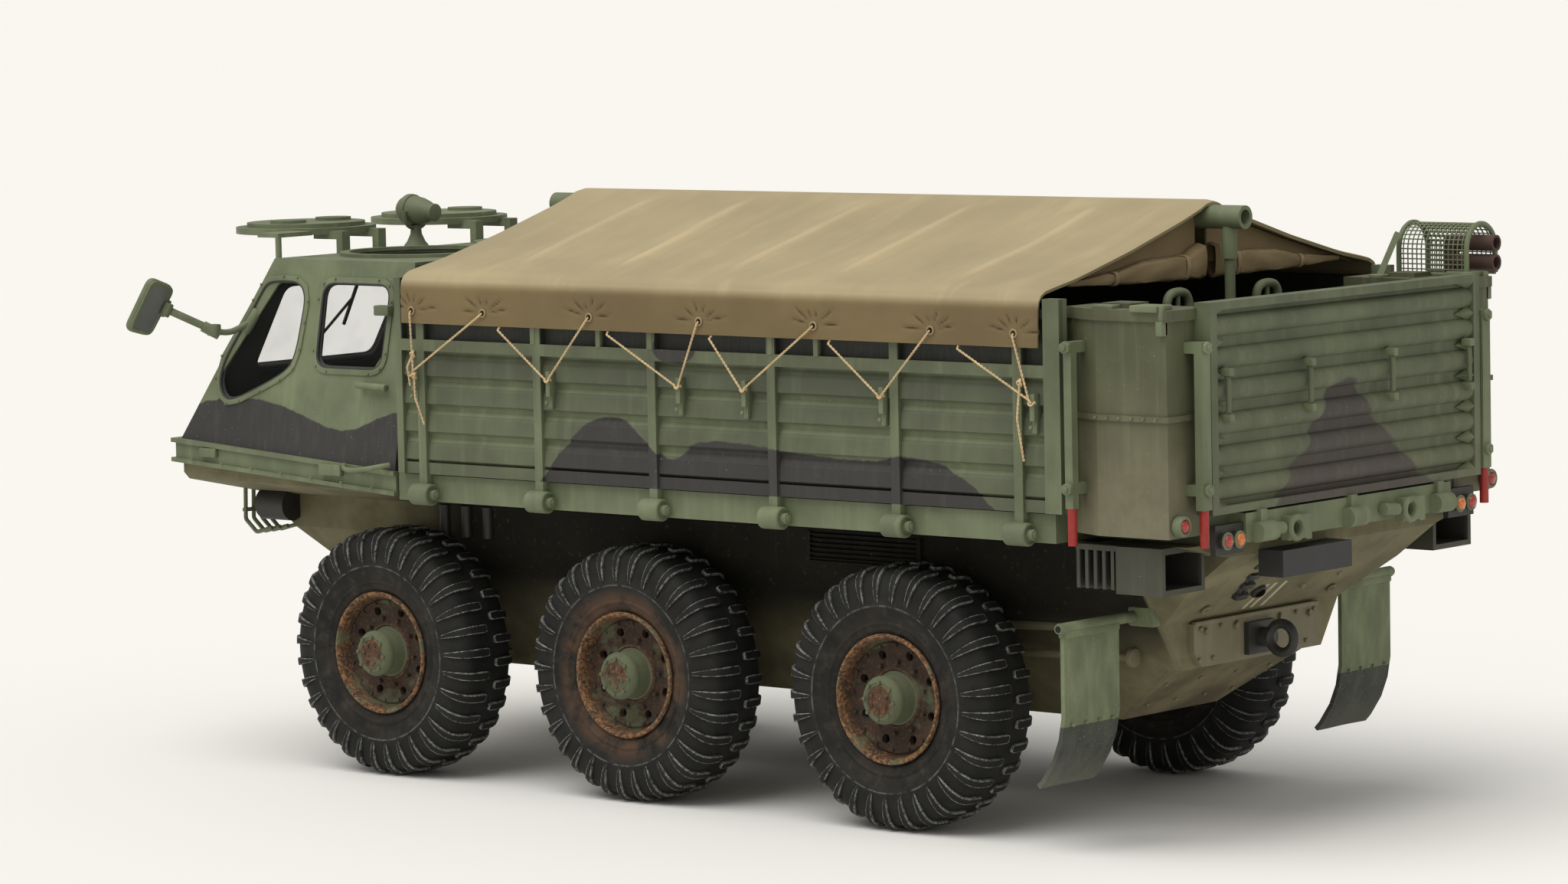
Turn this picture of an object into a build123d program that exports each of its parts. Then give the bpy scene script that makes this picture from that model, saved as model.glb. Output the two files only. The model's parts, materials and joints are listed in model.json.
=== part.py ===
from build123d import *
import math
import os

# Scale model, 1:35, of a six-wheel amphibious cargo truck.
# Millimetres. Stations along the truck are measured forward from the middle axle;
# +Y is the left side, Z is height above the ground. At the end every piece is moved
# by frame_shift, so that the origin is under the middle of the truck, on the ground.

# Overall
nose_x = 84.6
tail_x = -97.0
gate_x = tail_x + 0.8
gate_half = 30.1
gate_thickness = 2.8

# Wheels
axle_pitch = 46.1
tyre_radius = 17.47
tyre_width = 10.8
tread_width = 8.6
groove_depth = 0.7
sidewall_groove = 0.25
lug_count = 24
lug_width = 1.3
lug_gap = 0.5
lug_foot_radius = 12.6
track_half = 29.4
rim_radius = 8.3
rim_wall = 0.8
disc_thickness = 1.0
disc_y_offset = 2.2
hub_radius = 3.1
hub_face_y = 36.0
spindle_radius = 2.0
running_gap = 0.05
spindle_end_y = 33.6

# Hull
belly_z = 13.5
belly_half = 10.4
hull_side_y = 23.2
locker_y = gate_half + 5.9
side_y = locker_y + 1.2
bed_half = side_y - 1.2
deck_half = bed_half - 0.6
fold_z = 33.0
shoulder_z = 37.6
deck_z = 39.6
bow_tip_x = 83.4
bow_tip_z = 41.4
bow_chin_x = 80.0
bow_chin_z = 38.6
bow_foot_x = 50.0
stern_belly_x = -66.5
stern_foot_x = -78.0
stern_foot_z = 21.4
stern_face_x = -79.9
stern_step_z = 27.5
stern_top_x = gate_x + gate_thickness + 0.2

louvre_front_x = -24.0
louvre_rear_x = -43.6
louvre_count = 6
louvre_depth = 0.5

# Rub rail round the cab's foot
rail_half = 36.7
rail_height = 3.4
rail_wall = 2.4
rail_lip = 0.5
rail_lip_height = 0.6
rail_rear_x = 40.0
rail_rear_top_z = 43.5
rail_front_top_z = 46.4
rail_slope = (rail_front_top_z - rail_rear_top_z) / (nose_x - rail_rear_x)

# Cab
cab_wall = 1.0
cab_front_foot_x = 83.4
cab_roof_front_x = 68.0
cab_rear_foot_x = 40.2
cab_rear_top_x = 40.2
roof_z = 72.3
roof_half = 31.0
cab_foot_half = 36.2
glass_inset = 0.3
glass_thickness = 0.4

# Roof hatches
hatch_x = 55.4
hatch_y = 14.0
hatch_radius = 10.7
hatch_rim = 1.0
hatch_rim_height = 0.5
lid_radius = 10.2
lid_x = 78.6
lid_z = 75.0
lid_thickness = 0.9
hinge_leg_x = 67.4
hinge_leg_spread = 7.4
lid_front_x = lid_x + lid_radius

# The origin stands midway between the open lids and the tow eyes
frame_shift = -(lid_front_x + tail_x) / 2

# Load bed. Hinges, cleats and eyelets stand at shares of the drop side's length
bed_top_z = 43.3
bed_front_x = 39.6
bed_rear_x = stern_top_x
bulkhead_x = 38.4
side_front_x = 38.5
side_rear_x = gate_x + 18.6
side_length = side_front_x - side_rear_x
side_top_z = 69.2
side_post_top_z = 70.6
side_bottom_z = 43.5
side_depth = 1.7
mid_rail_low_z = 60.6
mid_rail_high_z = 62.2
foot_rail_height = 1.6
corrugation_pitch = 3.7
corrugation_depth = 0.8
sheet_thickness = 0.6
post_half_width = 0.7
cleat_low_z = 53.6
cleat_high_z = 58.6
gate_top_z = 70.2
gate_bottom_z = 43.6
hinge_z = 40.7
hinge_radius = 1.5
hinge_length = 3.2


def along_side(*shares):
    """Stations at shares of the drop side's length, counted from its front end."""
    return tuple(side_front_x - share * side_length for share in shares)


hinge_stations = along_side(0.041, 0.229, 0.408, 0.589, 0.768, 0.941)
cleat_stations = along_side(0.034, 0.252, 0.454, 0.553, 0.754, 0.966)
eyelet_stations = along_side(0.035, 0.151, 0.320, 0.489, 0.659, 0.827, 0.943)
hem_stations = along_side(0.175, 0.346, 0.505, 0.680, 0.863)

# Corner lockers
locker_front_x = side_rear_x - 1.4
locker_corner_x = locker_front_x - 3.4
locker_rear_x = gate_x + gate_thickness
locker_inner_y = gate_half - 2.6
locker_top_z = 69.5
locker_bottom_z = 41.0
bar_x = locker_front_x - 0.5
bar_low_z = 44.4
bar_top_z = 64.0
bar_tip_z = 39.7

outlet_x = locker_front_x - 5.0

# Tilt
tilt_half = side_y + 0.7
tilt_front_x = 36.8
tilt_rear_x = side_rear_x + 3.0
tilt_hem_z = 64.4
tilt_shoulder_z = 71.2
tilt_ridge_z = 81.3
tilt_skin = 0.5
ridge_radius = 1.55
ridge_bore = 1.0
ridge_z = 79.0
ridge_front_x = 41.7
ridge_rear_x = side_rear_x - 2.2
pole_radius = 0.7
pole_sleeve_radius = 1.0

# Mud flaps and exhaust
flap_x = -76.6
flap_rod_z = 28.9
flap_inner_y = 28.0
flap_outer_y = 37.0
exhaust_y = -(locker_y + 1.4)
exhaust_x = locker_rear_x + 7.0
exhaust_radius = 1.1

pieces = {}


def keep(name, shape):
    """Files a piece under its node name, moved to the truck's own frame."""
    shape = Compound(children=list(shape.solids())) if len(shape.solids()) > 1 else shape
    pieces[name] = Location((frame_shift, 0, 0)) * shape


def box(x0, x1, y0, y1, z0, z1):
    """A block between two corners."""
    size = (abs(x1 - x0), abs(y1 - y0), abs(z1 - z0))
    return Pos((x0 + x1) / 2, (y0 + y1) / 2, (z0 + z1) / 2) * Box(*size)


def side_profile(points, y0, y1):
    """A prism across the truck: points are (station, height)."""
    outline = Plane.XZ * make_face(Polyline(*points, close=True))
    return Pos(0, y1, 0) * extrude(outline, y1 - y0)


def front_profile(points, x0, x1):
    """A prism along the truck: points are (y, height)."""
    outline = Plane.YZ * make_face(Polyline(*points, close=True))
    return Pos(x0, 0, 0) * extrude(outline, x1 - x0)


def plan_profile(points, z0, z1):
    """An upright prism: points are (station, y)."""
    return Pos(0, 0, z0) * extrude(make_face(Polyline(*points, close=True)), z1 - z0)


def both_sides(points):
    """Closes a half outline by its mirror image across the centre line."""
    return list(points) + [(-y, z) for y, z in reversed(points) if y > 0]


def rod(start, end, radius):
    """A round bar between two points."""
    run = Vector(*end) - Vector(*start)
    place = Plane(origin=Vector(*start), z_dir=run)
    return place * Cylinder(radius, run.length, align=(Align.CENTER, Align.CENTER, Align.MIN))


def bent_rod(points, radius, bend):
    """A round bar along straight runs with rounded corners."""
    path = FilletPolyline(*points, radius=bend) if len(points) > 2 else Line(*points)
    section = Plane(origin=path @ 0, z_dir=path % 0) * Circle(radius)
    return sweep(section, path=path)


def mirrored(shape):
    """The same piece on the other side."""
    return mirror(shape, about=Plane.XZ)


def rail_top(x):
    """Height of the rail's top edge at a station."""
    return rail_rear_top_z + rail_slope * (x - rail_rear_x)


# Hull: bow, belly and stern drawn from the side, the V bottom drawn from the front
def make_hull():
    side = side_profile(
        [
            (bow_tip_x, rail_top(bow_tip_x) - rail_height),
            (bow_tip_x, bow_tip_z),
            (bow_chin_x, bow_chin_z),
            (bow_foot_x, belly_z),
            (stern_belly_x, belly_z),
            (stern_foot_x, stern_foot_z),
            (stern_face_x, stern_foot_z),
            (stern_face_x, stern_step_z),
            (stern_top_x, shoulder_z),
            (stern_top_x, deck_z),
            (rail_rear_x, deck_z),
            (rail_rear_x, rail_rear_top_z - rail_height),
        ],
        -deck_half,
        deck_half,
    )
    front_deck = rail_top(bow_tip_x)
    section = front_profile(
        both_sides(
            [
                (0, belly_z),
                (belly_half, belly_z),
                (hull_side_y, fold_z),
                (hull_side_y, shoulder_z),
                (deck_half, deck_z + 0.9),
                (deck_half, front_deck),
                (0, front_deck),
            ]
        ),
        stern_top_x,
        bow_tip_x,
    )
    return (side & section) + make_louvres() + mirrored(make_louvres())


def make_louvres():
    """The air grille on the hull's side: a frame with sloping slats."""
    y0, y1 = hull_side_y - 0.3, hull_side_y + louvre_depth
    low, high = fold_z + 0.1, shoulder_z - 0.2
    grille = box(louvre_front_x - 0.6, louvre_front_x, y0, y1, low, high)
    grille += box(louvre_rear_x, louvre_rear_x + 0.6, y0, y1, low, high)
    grille += box(louvre_rear_x, louvre_front_x, y0, y1, low, low + 0.4)
    pitch = (high - low - 0.4) / louvre_count
    for i in range(louvre_count):
        z = low + 0.4 + (i + 0.5) * pitch
        slat = front_profile(
            [(y0, z), (y0, z + 0.3), (y1, z + 0.05), (y1, z - 0.1)], louvre_rear_x, louvre_front_x
        )
        grille += slat
    return grille


def make_stern_band():
    half = 14.0
    plate = front_profile(
        both_sides([(0, 21.6), (12.4, 21.6), (half, 23.6), (half, 27.3), (0, 27.3)]),
        stern_face_x - 0.9,
        stern_face_x,
    )
    for y in (-11.5, -5.0, 5.0, 11.5):
        plate += rod((stern_face_x - 0.8, y, 26.2), (stern_face_x - 1.4, y, 26.2), 0.45)
    return plate


def make_pintle():
    x = stern_face_x - 0.9
    foot = box(x - 0.8, x, -3.0, 3.0, 22.2, 26.4)
    neck = rod((x - 0.7, 0, 24.3), (x - 2.4, 0, 24.3), 1.3)
    ring = Plane(origin=(x - 3.9, 0, 24.3), z_dir=(0, 1, 0)) * Torus(1.9, 0.65)
    return foot + neck + ring


# Rub rail: a sloping frame round the foot of the cab, with a lip at top and bottom
def make_rail():
    def layer(half, front, low, high):
        return side_profile(
            [
                (rail_rear_x, rail_rear_top_z - rail_height + low),
                (front, rail_top(front) - rail_height + low),
                (front, rail_top(front) - rail_height + high),
                (rail_rear_x, rail_rear_top_z - rail_height + high),
            ],
            -half,
            half,
        )

    body = layer(rail_half - rail_lip, nose_x - rail_lip, 0, rail_height)
    body += layer(rail_half, nose_x, 0, rail_lip_height)
    body += layer(rail_half, nose_x, rail_height - rail_lip_height, rail_height)
    well = layer(rail_half - rail_wall, nose_x - rail_wall, -1, rail_height + 1)
    return body - well


# Cab
def cab_block(inset):
    """The cab's outside, or the same form drawn in by a wall."""
    foot = 0.0 if inset == 0 else -2.0
    slope = (cab_front_foot_x - cab_roof_front_x) / (roof_z - rail_top(cab_front_foot_x))
    front_in = inset * math.hypot(1, slope)
    side = side_profile(
        [
            (cab_rear_foot_x + inset, rail_top(cab_rear_foot_x) + foot),
            (cab_front_foot_x - front_in - foot * slope, rail_top(cab_front_foot_x) + foot),
            (cab_roof_front_x - front_in + inset * slope, roof_z - inset),
            (cab_rear_top_x + inset, roof_z - inset),
        ],
        -rail_half,
        rail_half,
    )
    lean = (cab_foot_half - roof_half) / (roof_z - rail_top(cab_rear_foot_x))
    side_in = inset * math.hypot(1, lean)
    low = rail_rear_top_z - 3
    low_half = cab_foot_half + lean * 3
    section = front_profile(
        [
            (-low_half + side_in, low),
            (low_half - side_in, low),
            (roof_half - side_in + inset * lean, roof_z - inset),
            (-roof_half + side_in - inset * lean, roof_z - inset),
        ],
        rail_rear_x - 1,
        nose_x,
    )
    return side & section


def rounded(points, radius):
    """A closed outline with its corners rounded."""
    face = make_face(Polyline(*points, close=True))
    return fillet(face.vertices(), radius)


def quarter_window():
    face = rounded(
        [(66.6, 68.9), (62.2, 68.9), (60.6, 65.2), (61.8, 57.0), (74.6, 51.8), (77.4, 54.6)],
        0.9,
    )
    return Plane.XZ * face


def side_window():
    face = rounded(
        [(57.6, 69.3), (44.9, 69.3), (44.4, 66.4), (44.6, 59.6), (46.4, 57.2), (57.6, 57.2)],
        0.9,
    )
    return Plane.XZ * face


def window_cutters():
    """Prisms through both sides, and through the sloping front for the two windscreens."""
    sides = [Pos(0, 45, 0) * extrude(face, 90) for face in (quarter_window(), side_window())]
    slope = math.atan2(roof_z - rail_top(cab_front_foot_x), cab_front_foot_x - cab_roof_front_x)
    centre_x, centre_z = 73.9, 62.4
    glazed = Plane(
        origin=(centre_x, 0, centre_z),
        x_dir=(0, 1, 0),
        z_dir=(math.sin(slope), 0, math.cos(slope)),
    )
    fronts = []
    for side in (-1, 1):
        pane = Pos(side * 14.6, 0, 0) * RectangleRounded(25.6, 14.6, 1.6)
        fronts.append(glazed * Pos(0, 0, -3) * extrude(pane, 6))
    return sides + fronts


def hatch_places():
    return [(hatch_x, hatch_y), (hatch_x, -hatch_y)]


def make_cab():
    shell = cab_block(0) - cab_block(cab_wall)
    for cutter in window_cutters():
        shell -= cutter
    for x, y in hatch_places():
        shell -= Pos(x, y, roof_z - 1) * Cylinder(hatch_radius, 6)
    return shell


def make_glass():
    pane = cab_block(glass_inset) - cab_block(glass_inset + glass_thickness)
    panes = None
    for cutter in window_cutters():
        piece = pane & cutter
        panes = piece if panes is None else panes + piece
    return panes


def make_roof_rings():
    rings = None
    for x, y in hatch_places():
        ring = Pos(x, y, roof_z + hatch_rim_height / 2) * (
            Cylinder(hatch_radius + hatch_rim, hatch_rim_height)
            - Cylinder(hatch_radius - 0.4, hatch_rim_height)
        )
        rings = ring if rings is None else rings + ring
    return rings


def make_lid(y):
    """A round lid turned right over to the front, on its two hinge legs."""
    lid = Pos(lid_x, y, lid_z + lid_thickness / 2) * Cylinder(lid_radius, lid_thickness)
    lid += Pos(lid_x, y, lid_z + lid_thickness + 0.3) * Cylinder(lid_radius - 1.6, 0.6)
    for offset in (-4.6, 4.6):
        lid += Pos(lid_x - 1, y + offset, lid_z + lid_thickness + 0.8) * Cylinder(2.6, 0.5)
    for offset in (-hinge_leg_spread / 2, hinge_leg_spread / 2):
        leg_y = y + offset
        foot_z = roof_z
        lid += box(hinge_leg_x - 0.6, hinge_leg_x + 0.6, leg_y - 0.8, leg_y + 0.8, foot_z, lid_z)
        lid += box(hinge_leg_x - 0.6, lid_x - 6, leg_y - 0.8, leg_y + 0.8, lid_z - 0.7, lid_z + 0.5)
    return lid


def make_lid_stay():
    post = rod((69.2, 29.0, 70.0), (69.2, 29.0, lid_z + 0.5), 0.45)
    arm = box(68.8, 73.0, 22.6, 29.4, lid_z + 0.1, lid_z + 0.7)
    return (post + arm) - cab_block(0) - make_lid(hatch_y)


def make_searchlight():
    """A lamp with a domed back, its glass to the front, on a short foot."""
    x, y, z = 66.0, 3.1, 78.4
    foot = Pos(x, y, roof_z) * Cone(1.9, 0.8, 2.4, align=(Align.CENTER, Align.CENTER, Align.MIN))
    neck = rod((x, y, roof_z + 2.2), (x, y, z - 1.0), 0.7)
    # (distance forward of the neck, radius)
    outline = [
        (-3.2, 0), (-3.2, 1.3), (-2.6, 2.0), (-1.4, 2.6), (-0.2, 2.75), (1.8, 2.75), (1.8, 2.3), (1.3, 0)
    ]
    bell = revolve(make_face(Polyline(*outline, close=True)), Axis.X)
    return foot + neck + Pos(x, y, z) * bell


def make_interior():
    """Floor, three seats and the dash of the cab."""
    floor_z = rail_rear_top_z - rail_height
    inner_half = rail_half - rail_wall - 0.4
    floor = box(rail_rear_x + 1.6, 78.0, -inner_half, inner_half, floor_z + 2.6, floor_z + 3.3)
    parts = floor
    for y in (-20.0, 0.0, 20.0):
        parts += box(47.0, 58.5, y - 6.5, y + 6.5, floor_z + 3.2, floor_z + 9.0)
        back = box(44.6, 47.2, y - 6.5, y + 6.5, floor_z + 3.2, floor_z + 21.5)
        parts += back
    dash = side_profile(
        [(77.6, floor_z + 3.2), (77.6, 49.5), (73.4, 53.6), (70.6, 53.0), (73.0, floor_z + 3.2)],
        -30.5,
        30.5,
    )
    return parts + dash


def make_steering():
    """A steering wheel on its column, ahead of the middle seat."""
    place = Plane(origin=(67.6, 0, 57.6), z_dir=(-0.62, 0, 0.78))
    wheel = place * Torus(4.3, 0.4)
    wheel += place * (Box(8.6, 0.7, 0.5) + Box(0.7, 8.6, 0.5) + Cylinder(0.9, 0.9))
    column = rod((67.6, 0, 57.6), (71.4, 0, 52.8), 0.6)
    return (wheel + column) - make_interior()


# Mirrors: a tilted head on a cranked arm from the screen pillar
def make_mirror():
    head = Plane(origin=(78.0, 45.6, 66.0), x_dir=(0.05, -0.94, -0.33), z_dir=(-0.92, -0.17, 0.36))
    glass = head * Pos(0, 0, 0) * extrude(RectangleRounded(4.8, 7.9, 0.9), 1.1, both=False)
    start = (71.6, 33.0, 63.6)
    arm = bent_rod([start, (72.4, 36.4, 61.9), (75.6, 41.4, 64.0), (78.1, 45.4, 66.2)], 0.5, 0.8)
    return (glass + arm) - cab_block(0)


# Lamps under the nose
def make_headlamp():
    body = rod((72.2, 24.6, 36.2), (77.8, 24.6, 36.2), 2.3)
    bracket = box(72.6, 76.6, 23.8, 25.4, 38.0, 42.6)
    return (body + bracket) - make_hull() - make_rail()


def make_guard():
    bars = None
    for y in (22.2, 23.8, 25.4, 27.0):
        bar = bent_rod(
            [(79.4, y, 41.0), (79.6, y, 34.0), (77.4, y, 32.2), (74.2, y, 33.0)], 0.3, 0.7
        )
        bars = bar if bars is None else bars + bar
    cross = box(79.2, 79.9, 21.9, 27.3, 35.1, 35.6)
    return (bars + cross) - make_hull() - make_rail()


# Load bed
def make_bed():
    floor = box(bed_rear_x, bed_front_x, -bed_half, bed_half, deck_z, bed_top_z)
    for side in (-1, 1):
        y0, y1 = side * (locker_inner_y - 0.3), side * (bed_half + 1)
        floor -= box(bed_rear_x - 1, locker_front_x + 3.3, y0, y1, deck_z - 1, bed_top_z + 1)
    return floor


def make_bulkhead():
    plate = box(
        bulkhead_x - 1.2, bulkhead_x, -(side_y - 2.4), side_y - 2.4, bed_top_z, side_top_z - 0.4
    )
    return plate


def corrugated(z0, z1):
    """Outline of the pressed sheet, as (depth, height): flat crests and sloping flanks."""
    count = max(1, round((z1 - z0) / corrugation_pitch))
    pitch = (z1 - z0) / count
    crest = corrugation_depth
    outer = []
    for i in range(count):
        low = z0 + i * pitch
        for share, out in ((0.0, 0.0), (0.12, crest), (0.62, crest * 0.75), (0.9, 0.0)):
            outer.append((out, low + share * pitch))
    outer.append((0.0, z1))
    return outer + [(out - sheet_thickness, z) for out, z in reversed(outer)]


def make_side():
    """A drop side: corrugated sheet in a frame of posts and rails, with rope cleats."""
    y_in = side_y - side_depth
    face = side_y - 0.4
    rails = (
        (side_bottom_z, side_bottom_z + foot_rail_height, face),
        (mid_rail_low_z, mid_rail_high_z, side_y),
        (side_top_z - 1.2, side_top_z, face),
    )
    frame = None
    for z0, z1, y in rails:
        bar = box(side_rear_x, side_front_x, y_in, y, z0, z1)
        frame = bar if frame is None else frame + bar
    for x in hinge_stations:
        frame += box(x - post_half_width, x + post_half_width, y_in, side_y, side_bottom_z, side_top_z)
    for x0, x1 in ((side_rear_x, side_rear_x + 2.6), (side_front_x - 1.2, side_front_x)):
        frame += box(x0, x1, y_in, side_y, side_bottom_z, side_post_top_z)
    sheet = corrugated(side_bottom_z + foot_rail_height, mid_rail_low_z)
    profile = [(face - corrugation_depth + out, z) for out, z in sheet]
    frame += front_profile(profile, side_rear_x + 1, side_front_x - 0.5)
    frame += box(side_rear_x + 1, side_front_x - 0.5, y_in, y_in + 0.6, mid_rail_high_z, side_top_z)
    for x in cleat_stations:
        frame += box(x - 0.35, x + 0.35, face - 1.2, side_y + 0.7, cleat_low_z, cleat_high_z)
        frame -= box(x - 1, x + 1, side_y + 0.2, side_y + 1, cleat_low_z - 1, cleat_low_z + 1.6)
    return frame


def make_side_hinges():
    """Knuckles that the drop sides hang from, on the edge of the bed."""
    knuckles = None
    for x in hinge_stations:
        drum = rod((x - hinge_length / 2, side_y, hinge_z), (x + hinge_length / 2, side_y, hinge_z),
                   hinge_radius)
        strap = box(x - 0.7, x + 0.7, bed_half, side_y, hinge_z, side_bottom_z)
        pin = rod((x - hinge_length / 2 - 0.7, side_y, hinge_z), (x, side_y, hinge_z), 0.7)
        piece = (drum + strap + pin) - box(x - 3, x + 3, 0, bed_half, 30, 50)
        knuckles = piece if knuckles is None else knuckles + piece
    return knuckles


def make_gate():
    """The tailgate: six broad ribs in a frame, with four grab handles."""
    x0, x1 = gate_x, gate_x + gate_thickness
    frame = box(x0 + 0.3, x1, -gate_half, gate_half, gate_bottom_z, gate_top_z)
    frame -= box(x0 - 1, x0 + 1.5, -gate_half + 1.4, gate_half - 1.4, gate_bottom_z + 1, gate_top_z - 1)
    frame -= box(x1 - 0.8, x1 + 1, -gate_half + 1.4, gate_half - 1.4, gate_bottom_z + 1, gate_top_z - 1)
    ribs = 6
    pitch = (gate_top_z - gate_bottom_z - 2) / ribs
    for i in range(ribs):
        z = gate_bottom_z + 1 + (i + 0.5) * pitch
        rib = front_profile_rib(x0 + 1.5, z, pitch)
        frame += rib
    for y in (27.0, 9.2, -9.2, -27.0):
        handle = bent_rod(
            [(x0 + 0.8, y, 61.6), (x0 - 0.1, y, 60.6), (x0 - 0.1, y, 56.4), (x0 + 0.8, y, 55.4)],
            0.35,
            0.3,
        )
        frame += handle
    return frame


def front_profile_rib(x, z, pitch):
    """One broad rounded rib across the gate."""
    half = pitch * 0.34
    arc = Plane.XZ * make_face(
        [
            *Polyline((x, z + half), (x + 0.2, z + half), (x + 0.2, z - half), (x, z - half)).edges(),
            ThreePointArc((x, z - half), (x - 1.1, z), (x, z + half)),
        ]
    )
    return Pos(0, gate_half - 1.4, 0) * extrude(arc, 2 * (gate_half - 1.4))


def make_gate_hinges():
    beam = box(gate_x + 0.4, bed_rear_x, -gate_half + 7.1, gate_half - 7.1, deck_z, bed_top_z)
    for y in (-gate_half + 10.2, 0.0, gate_half - 10.2):
        beam += rod((gate_x - 0.2, y - 1.8, 40.8), (gate_x - 0.2, y + 1.8, 40.8), 1.3)
        beam += box(gate_x - 0.2, gate_x + 1.0, y - 0.7, y + 0.7, 40.8, gate_bottom_z)
    return beam


def make_tow_eyes():
    eyes = None
    for y in (-12.8, 12.8):
        ear = side_profile(
            [(gate_x + 0.4, 39.0), (gate_x + 0.4, 42.2), (tail_x, 42.2), (tail_x, 39.0)],
            y - 2.4,
            y - 1.2,
        )
        ear += box(tail_x, tail_x + 1.2, y - 2.4, y + 2.6, 39.2, 42.2)
        ear -= Plane(origin=(tail_x + 0.5, y + 1.0, 40.7), z_dir=(1, 0, 0)) * Cylinder(0.8, 4)
        eyes = ear if eyes is None else eyes + ear
    return eyes


# Corner lockers
def make_locker():
    outline = [
        (locker_front_x + 3.0, locker_inner_y),
        (locker_front_x + 3.0, locker_y - 2.6),
        (locker_corner_x, locker_y),
        (locker_rear_x, locker_y),
        (locker_rear_x, locker_inner_y),
    ]
    body = plan_profile(outline, locker_bottom_z, locker_top_z - 1.3)
    grown = [
        (locker_front_x + 3.0, locker_inner_y),
        (locker_front_x + 3.0, locker_y - 2.2),
        (locker_corner_x, locker_y + 0.4),
        (locker_rear_x - 0.4, locker_y + 0.4),
        (locker_rear_x - 0.4, locker_inner_y),
    ]
    body += plan_profile(grown, locker_top_z - 1.4, locker_top_z)
    body += plan_profile(grown, 55.6, 56.3)
    lid_x0, lid_y0 = locker_rear_x + 7.4, locker_inner_y + 2.0
    body += box(lid_x0, lid_x0 + 4.4, lid_y0, lid_y0 + 4.0, locker_top_z - 0.1, locker_top_z + 0.6)
    body -= box(side_rear_x, locker_front_x + 4, locker_y - 2, side_y + 1, 40, 72)
    body -= box(gate_x, locker_rear_x, 0, gate_half + 0.1, 40, 72)
    return body


def make_marker_lamp():
    y, z = locker_y - 1.6, 42.6
    base = rod((locker_rear_x, y, z), (locker_rear_x - 1.0, y, z), 1.3)
    lens = rod((locker_rear_x - 1.0, y, z), (locker_rear_x - 1.7, y, z), 0.9)
    return base + lens


def make_stay_bars():
    y0, y1 = locker_y + 0.9, locker_y + 2.1
    side_bar = box(bar_x - 0.6, bar_x + 0.6, y0, y1, bar_low_z, bar_top_z)
    for z in (46.2, bar_top_z):
        side_bar += box(bar_x - 0.6, bar_x + 0.6, locker_y - 3.0, y1, z, z + 1.4)
    x0, x1 = gate_x + 0.1, gate_x + 1.3
    rear_bar = box(x0, x1, gate_half + 0.4, gate_half + 2.2, bar_low_z, bar_top_z)
    for z in (46.2, bar_top_z):
        rear_bar += box(x0, locker_rear_x, gate_half + 0.4, gate_half + 2.2, z, z + 1.4)
    return (side_bar + rear_bar) - make_locker()


def make_bar_tips():
    side_y0 = locker_y + 1.5
    side_tip = rod((bar_x, side_y0, bar_tip_z), (bar_x, side_y0, bar_low_z), 0.6)
    x, y = gate_x + 0.7, gate_half + 1.3
    return side_tip + rod((x, y, bar_tip_z), (x, y, bar_low_z), 0.6)


def make_tail_lamps():
    lamps = None
    inner, outer = gate_half - 7.1, gate_half - 1.1
    for side in (-1, 1):
        plate = box(gate_x + 0.8, gate_x + 1.6, side * inner, side * outer, 38.4, 42.2)
        for y in (inner + 1.8, inner + 4.4):
            plate += rod((gate_x + 1.0, side * y, 40.2), (gate_x + 0.3, side * y, 40.2), 0.95)
        lamps = plate if lamps is None else lamps + plate
    return lamps


def make_plate_box():
    return box(tail_x, stern_top_x, 1.6, 16.8, 34.6, 38.0)


def make_outlet():
    """Guide fins and the open outlet box below a locker."""
    y0, y1 = locker_y - 10.4, locker_y - 1.4
    duct = box(outlet_x - 7.2, outlet_x, y0, y1, 33.6, deck_z)
    duct -= box(outlet_x - 8.0, outlet_x - 0.8, y0 + 0.7, y1 - 0.7, 34.3, 38.8)
    for i in range(5):
        x = outlet_x + 0.6 + i * 1.35
        duct += box(x, x + 0.5, y0, y1 - 0.4, 34.0, deck_z)
    duct += box(outlet_x - 0.1, outlet_x + 6.6, y0, y1 - 0.4, 38.9, deck_z)
    duct += box(outlet_x - 0.1, outlet_x + 6.6, y0, y0 + 0.6, 34.0, deck_z)
    return duct - make_hull()


# Ridge tube of the tilt, with its rear post
def make_ridge():
    tube = rod((ridge_rear_x, 0, ridge_z), (ridge_front_x, 0, ridge_z), ridge_radius)
    tube -= rod((ridge_rear_x - 1, 0, ridge_z), (ridge_rear_x + 6, 0, ridge_z), ridge_bore)
    post_x = ridge_rear_x + 2.6
    tube += rod((post_x, 0, bed_top_z), (post_x, 0, ridge_z - 1.0), pole_radius)
    tube += rod((post_x, 0, ridge_z - 5.4), (post_x, 0, ridge_z - 1.0), pole_sleeve_radius)
    tube += rod((bulkhead_x - 2.6, 0, bed_top_z), (bulkhead_x - 2.6, 0, ridge_z - 1.0), pole_radius)
    return tube


def tilt_outline(skin):
    """Half outline of the tilt, drawn in by its thickness."""
    top = tilt_ridge_z - skin * 1.1
    return [
        (0, top),
        (3.0 - skin, top - 0.5),
        (tilt_half - 1.6 - skin, tilt_shoulder_z + 0.4 - skin),
        (tilt_half - skin, tilt_shoulder_z - 1.4 - skin),
        (tilt_half - skin, tilt_hem_z - (0 if skin == 0 else 1)),
    ]


def make_tilt():
    def slab(skin, x0, x1):
        return front_profile(both_sides(tilt_outline(skin)), x0, x1)

    shell = slab(0, tilt_rear_x, tilt_front_x) - slab(tilt_skin, tilt_rear_x - 1, tilt_front_x + 1)
    clear = rod((tilt_rear_x - 9, 0, ridge_z), (tilt_front_x + 9, 0, ridge_z), ridge_radius)
    return shell - clear


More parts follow.
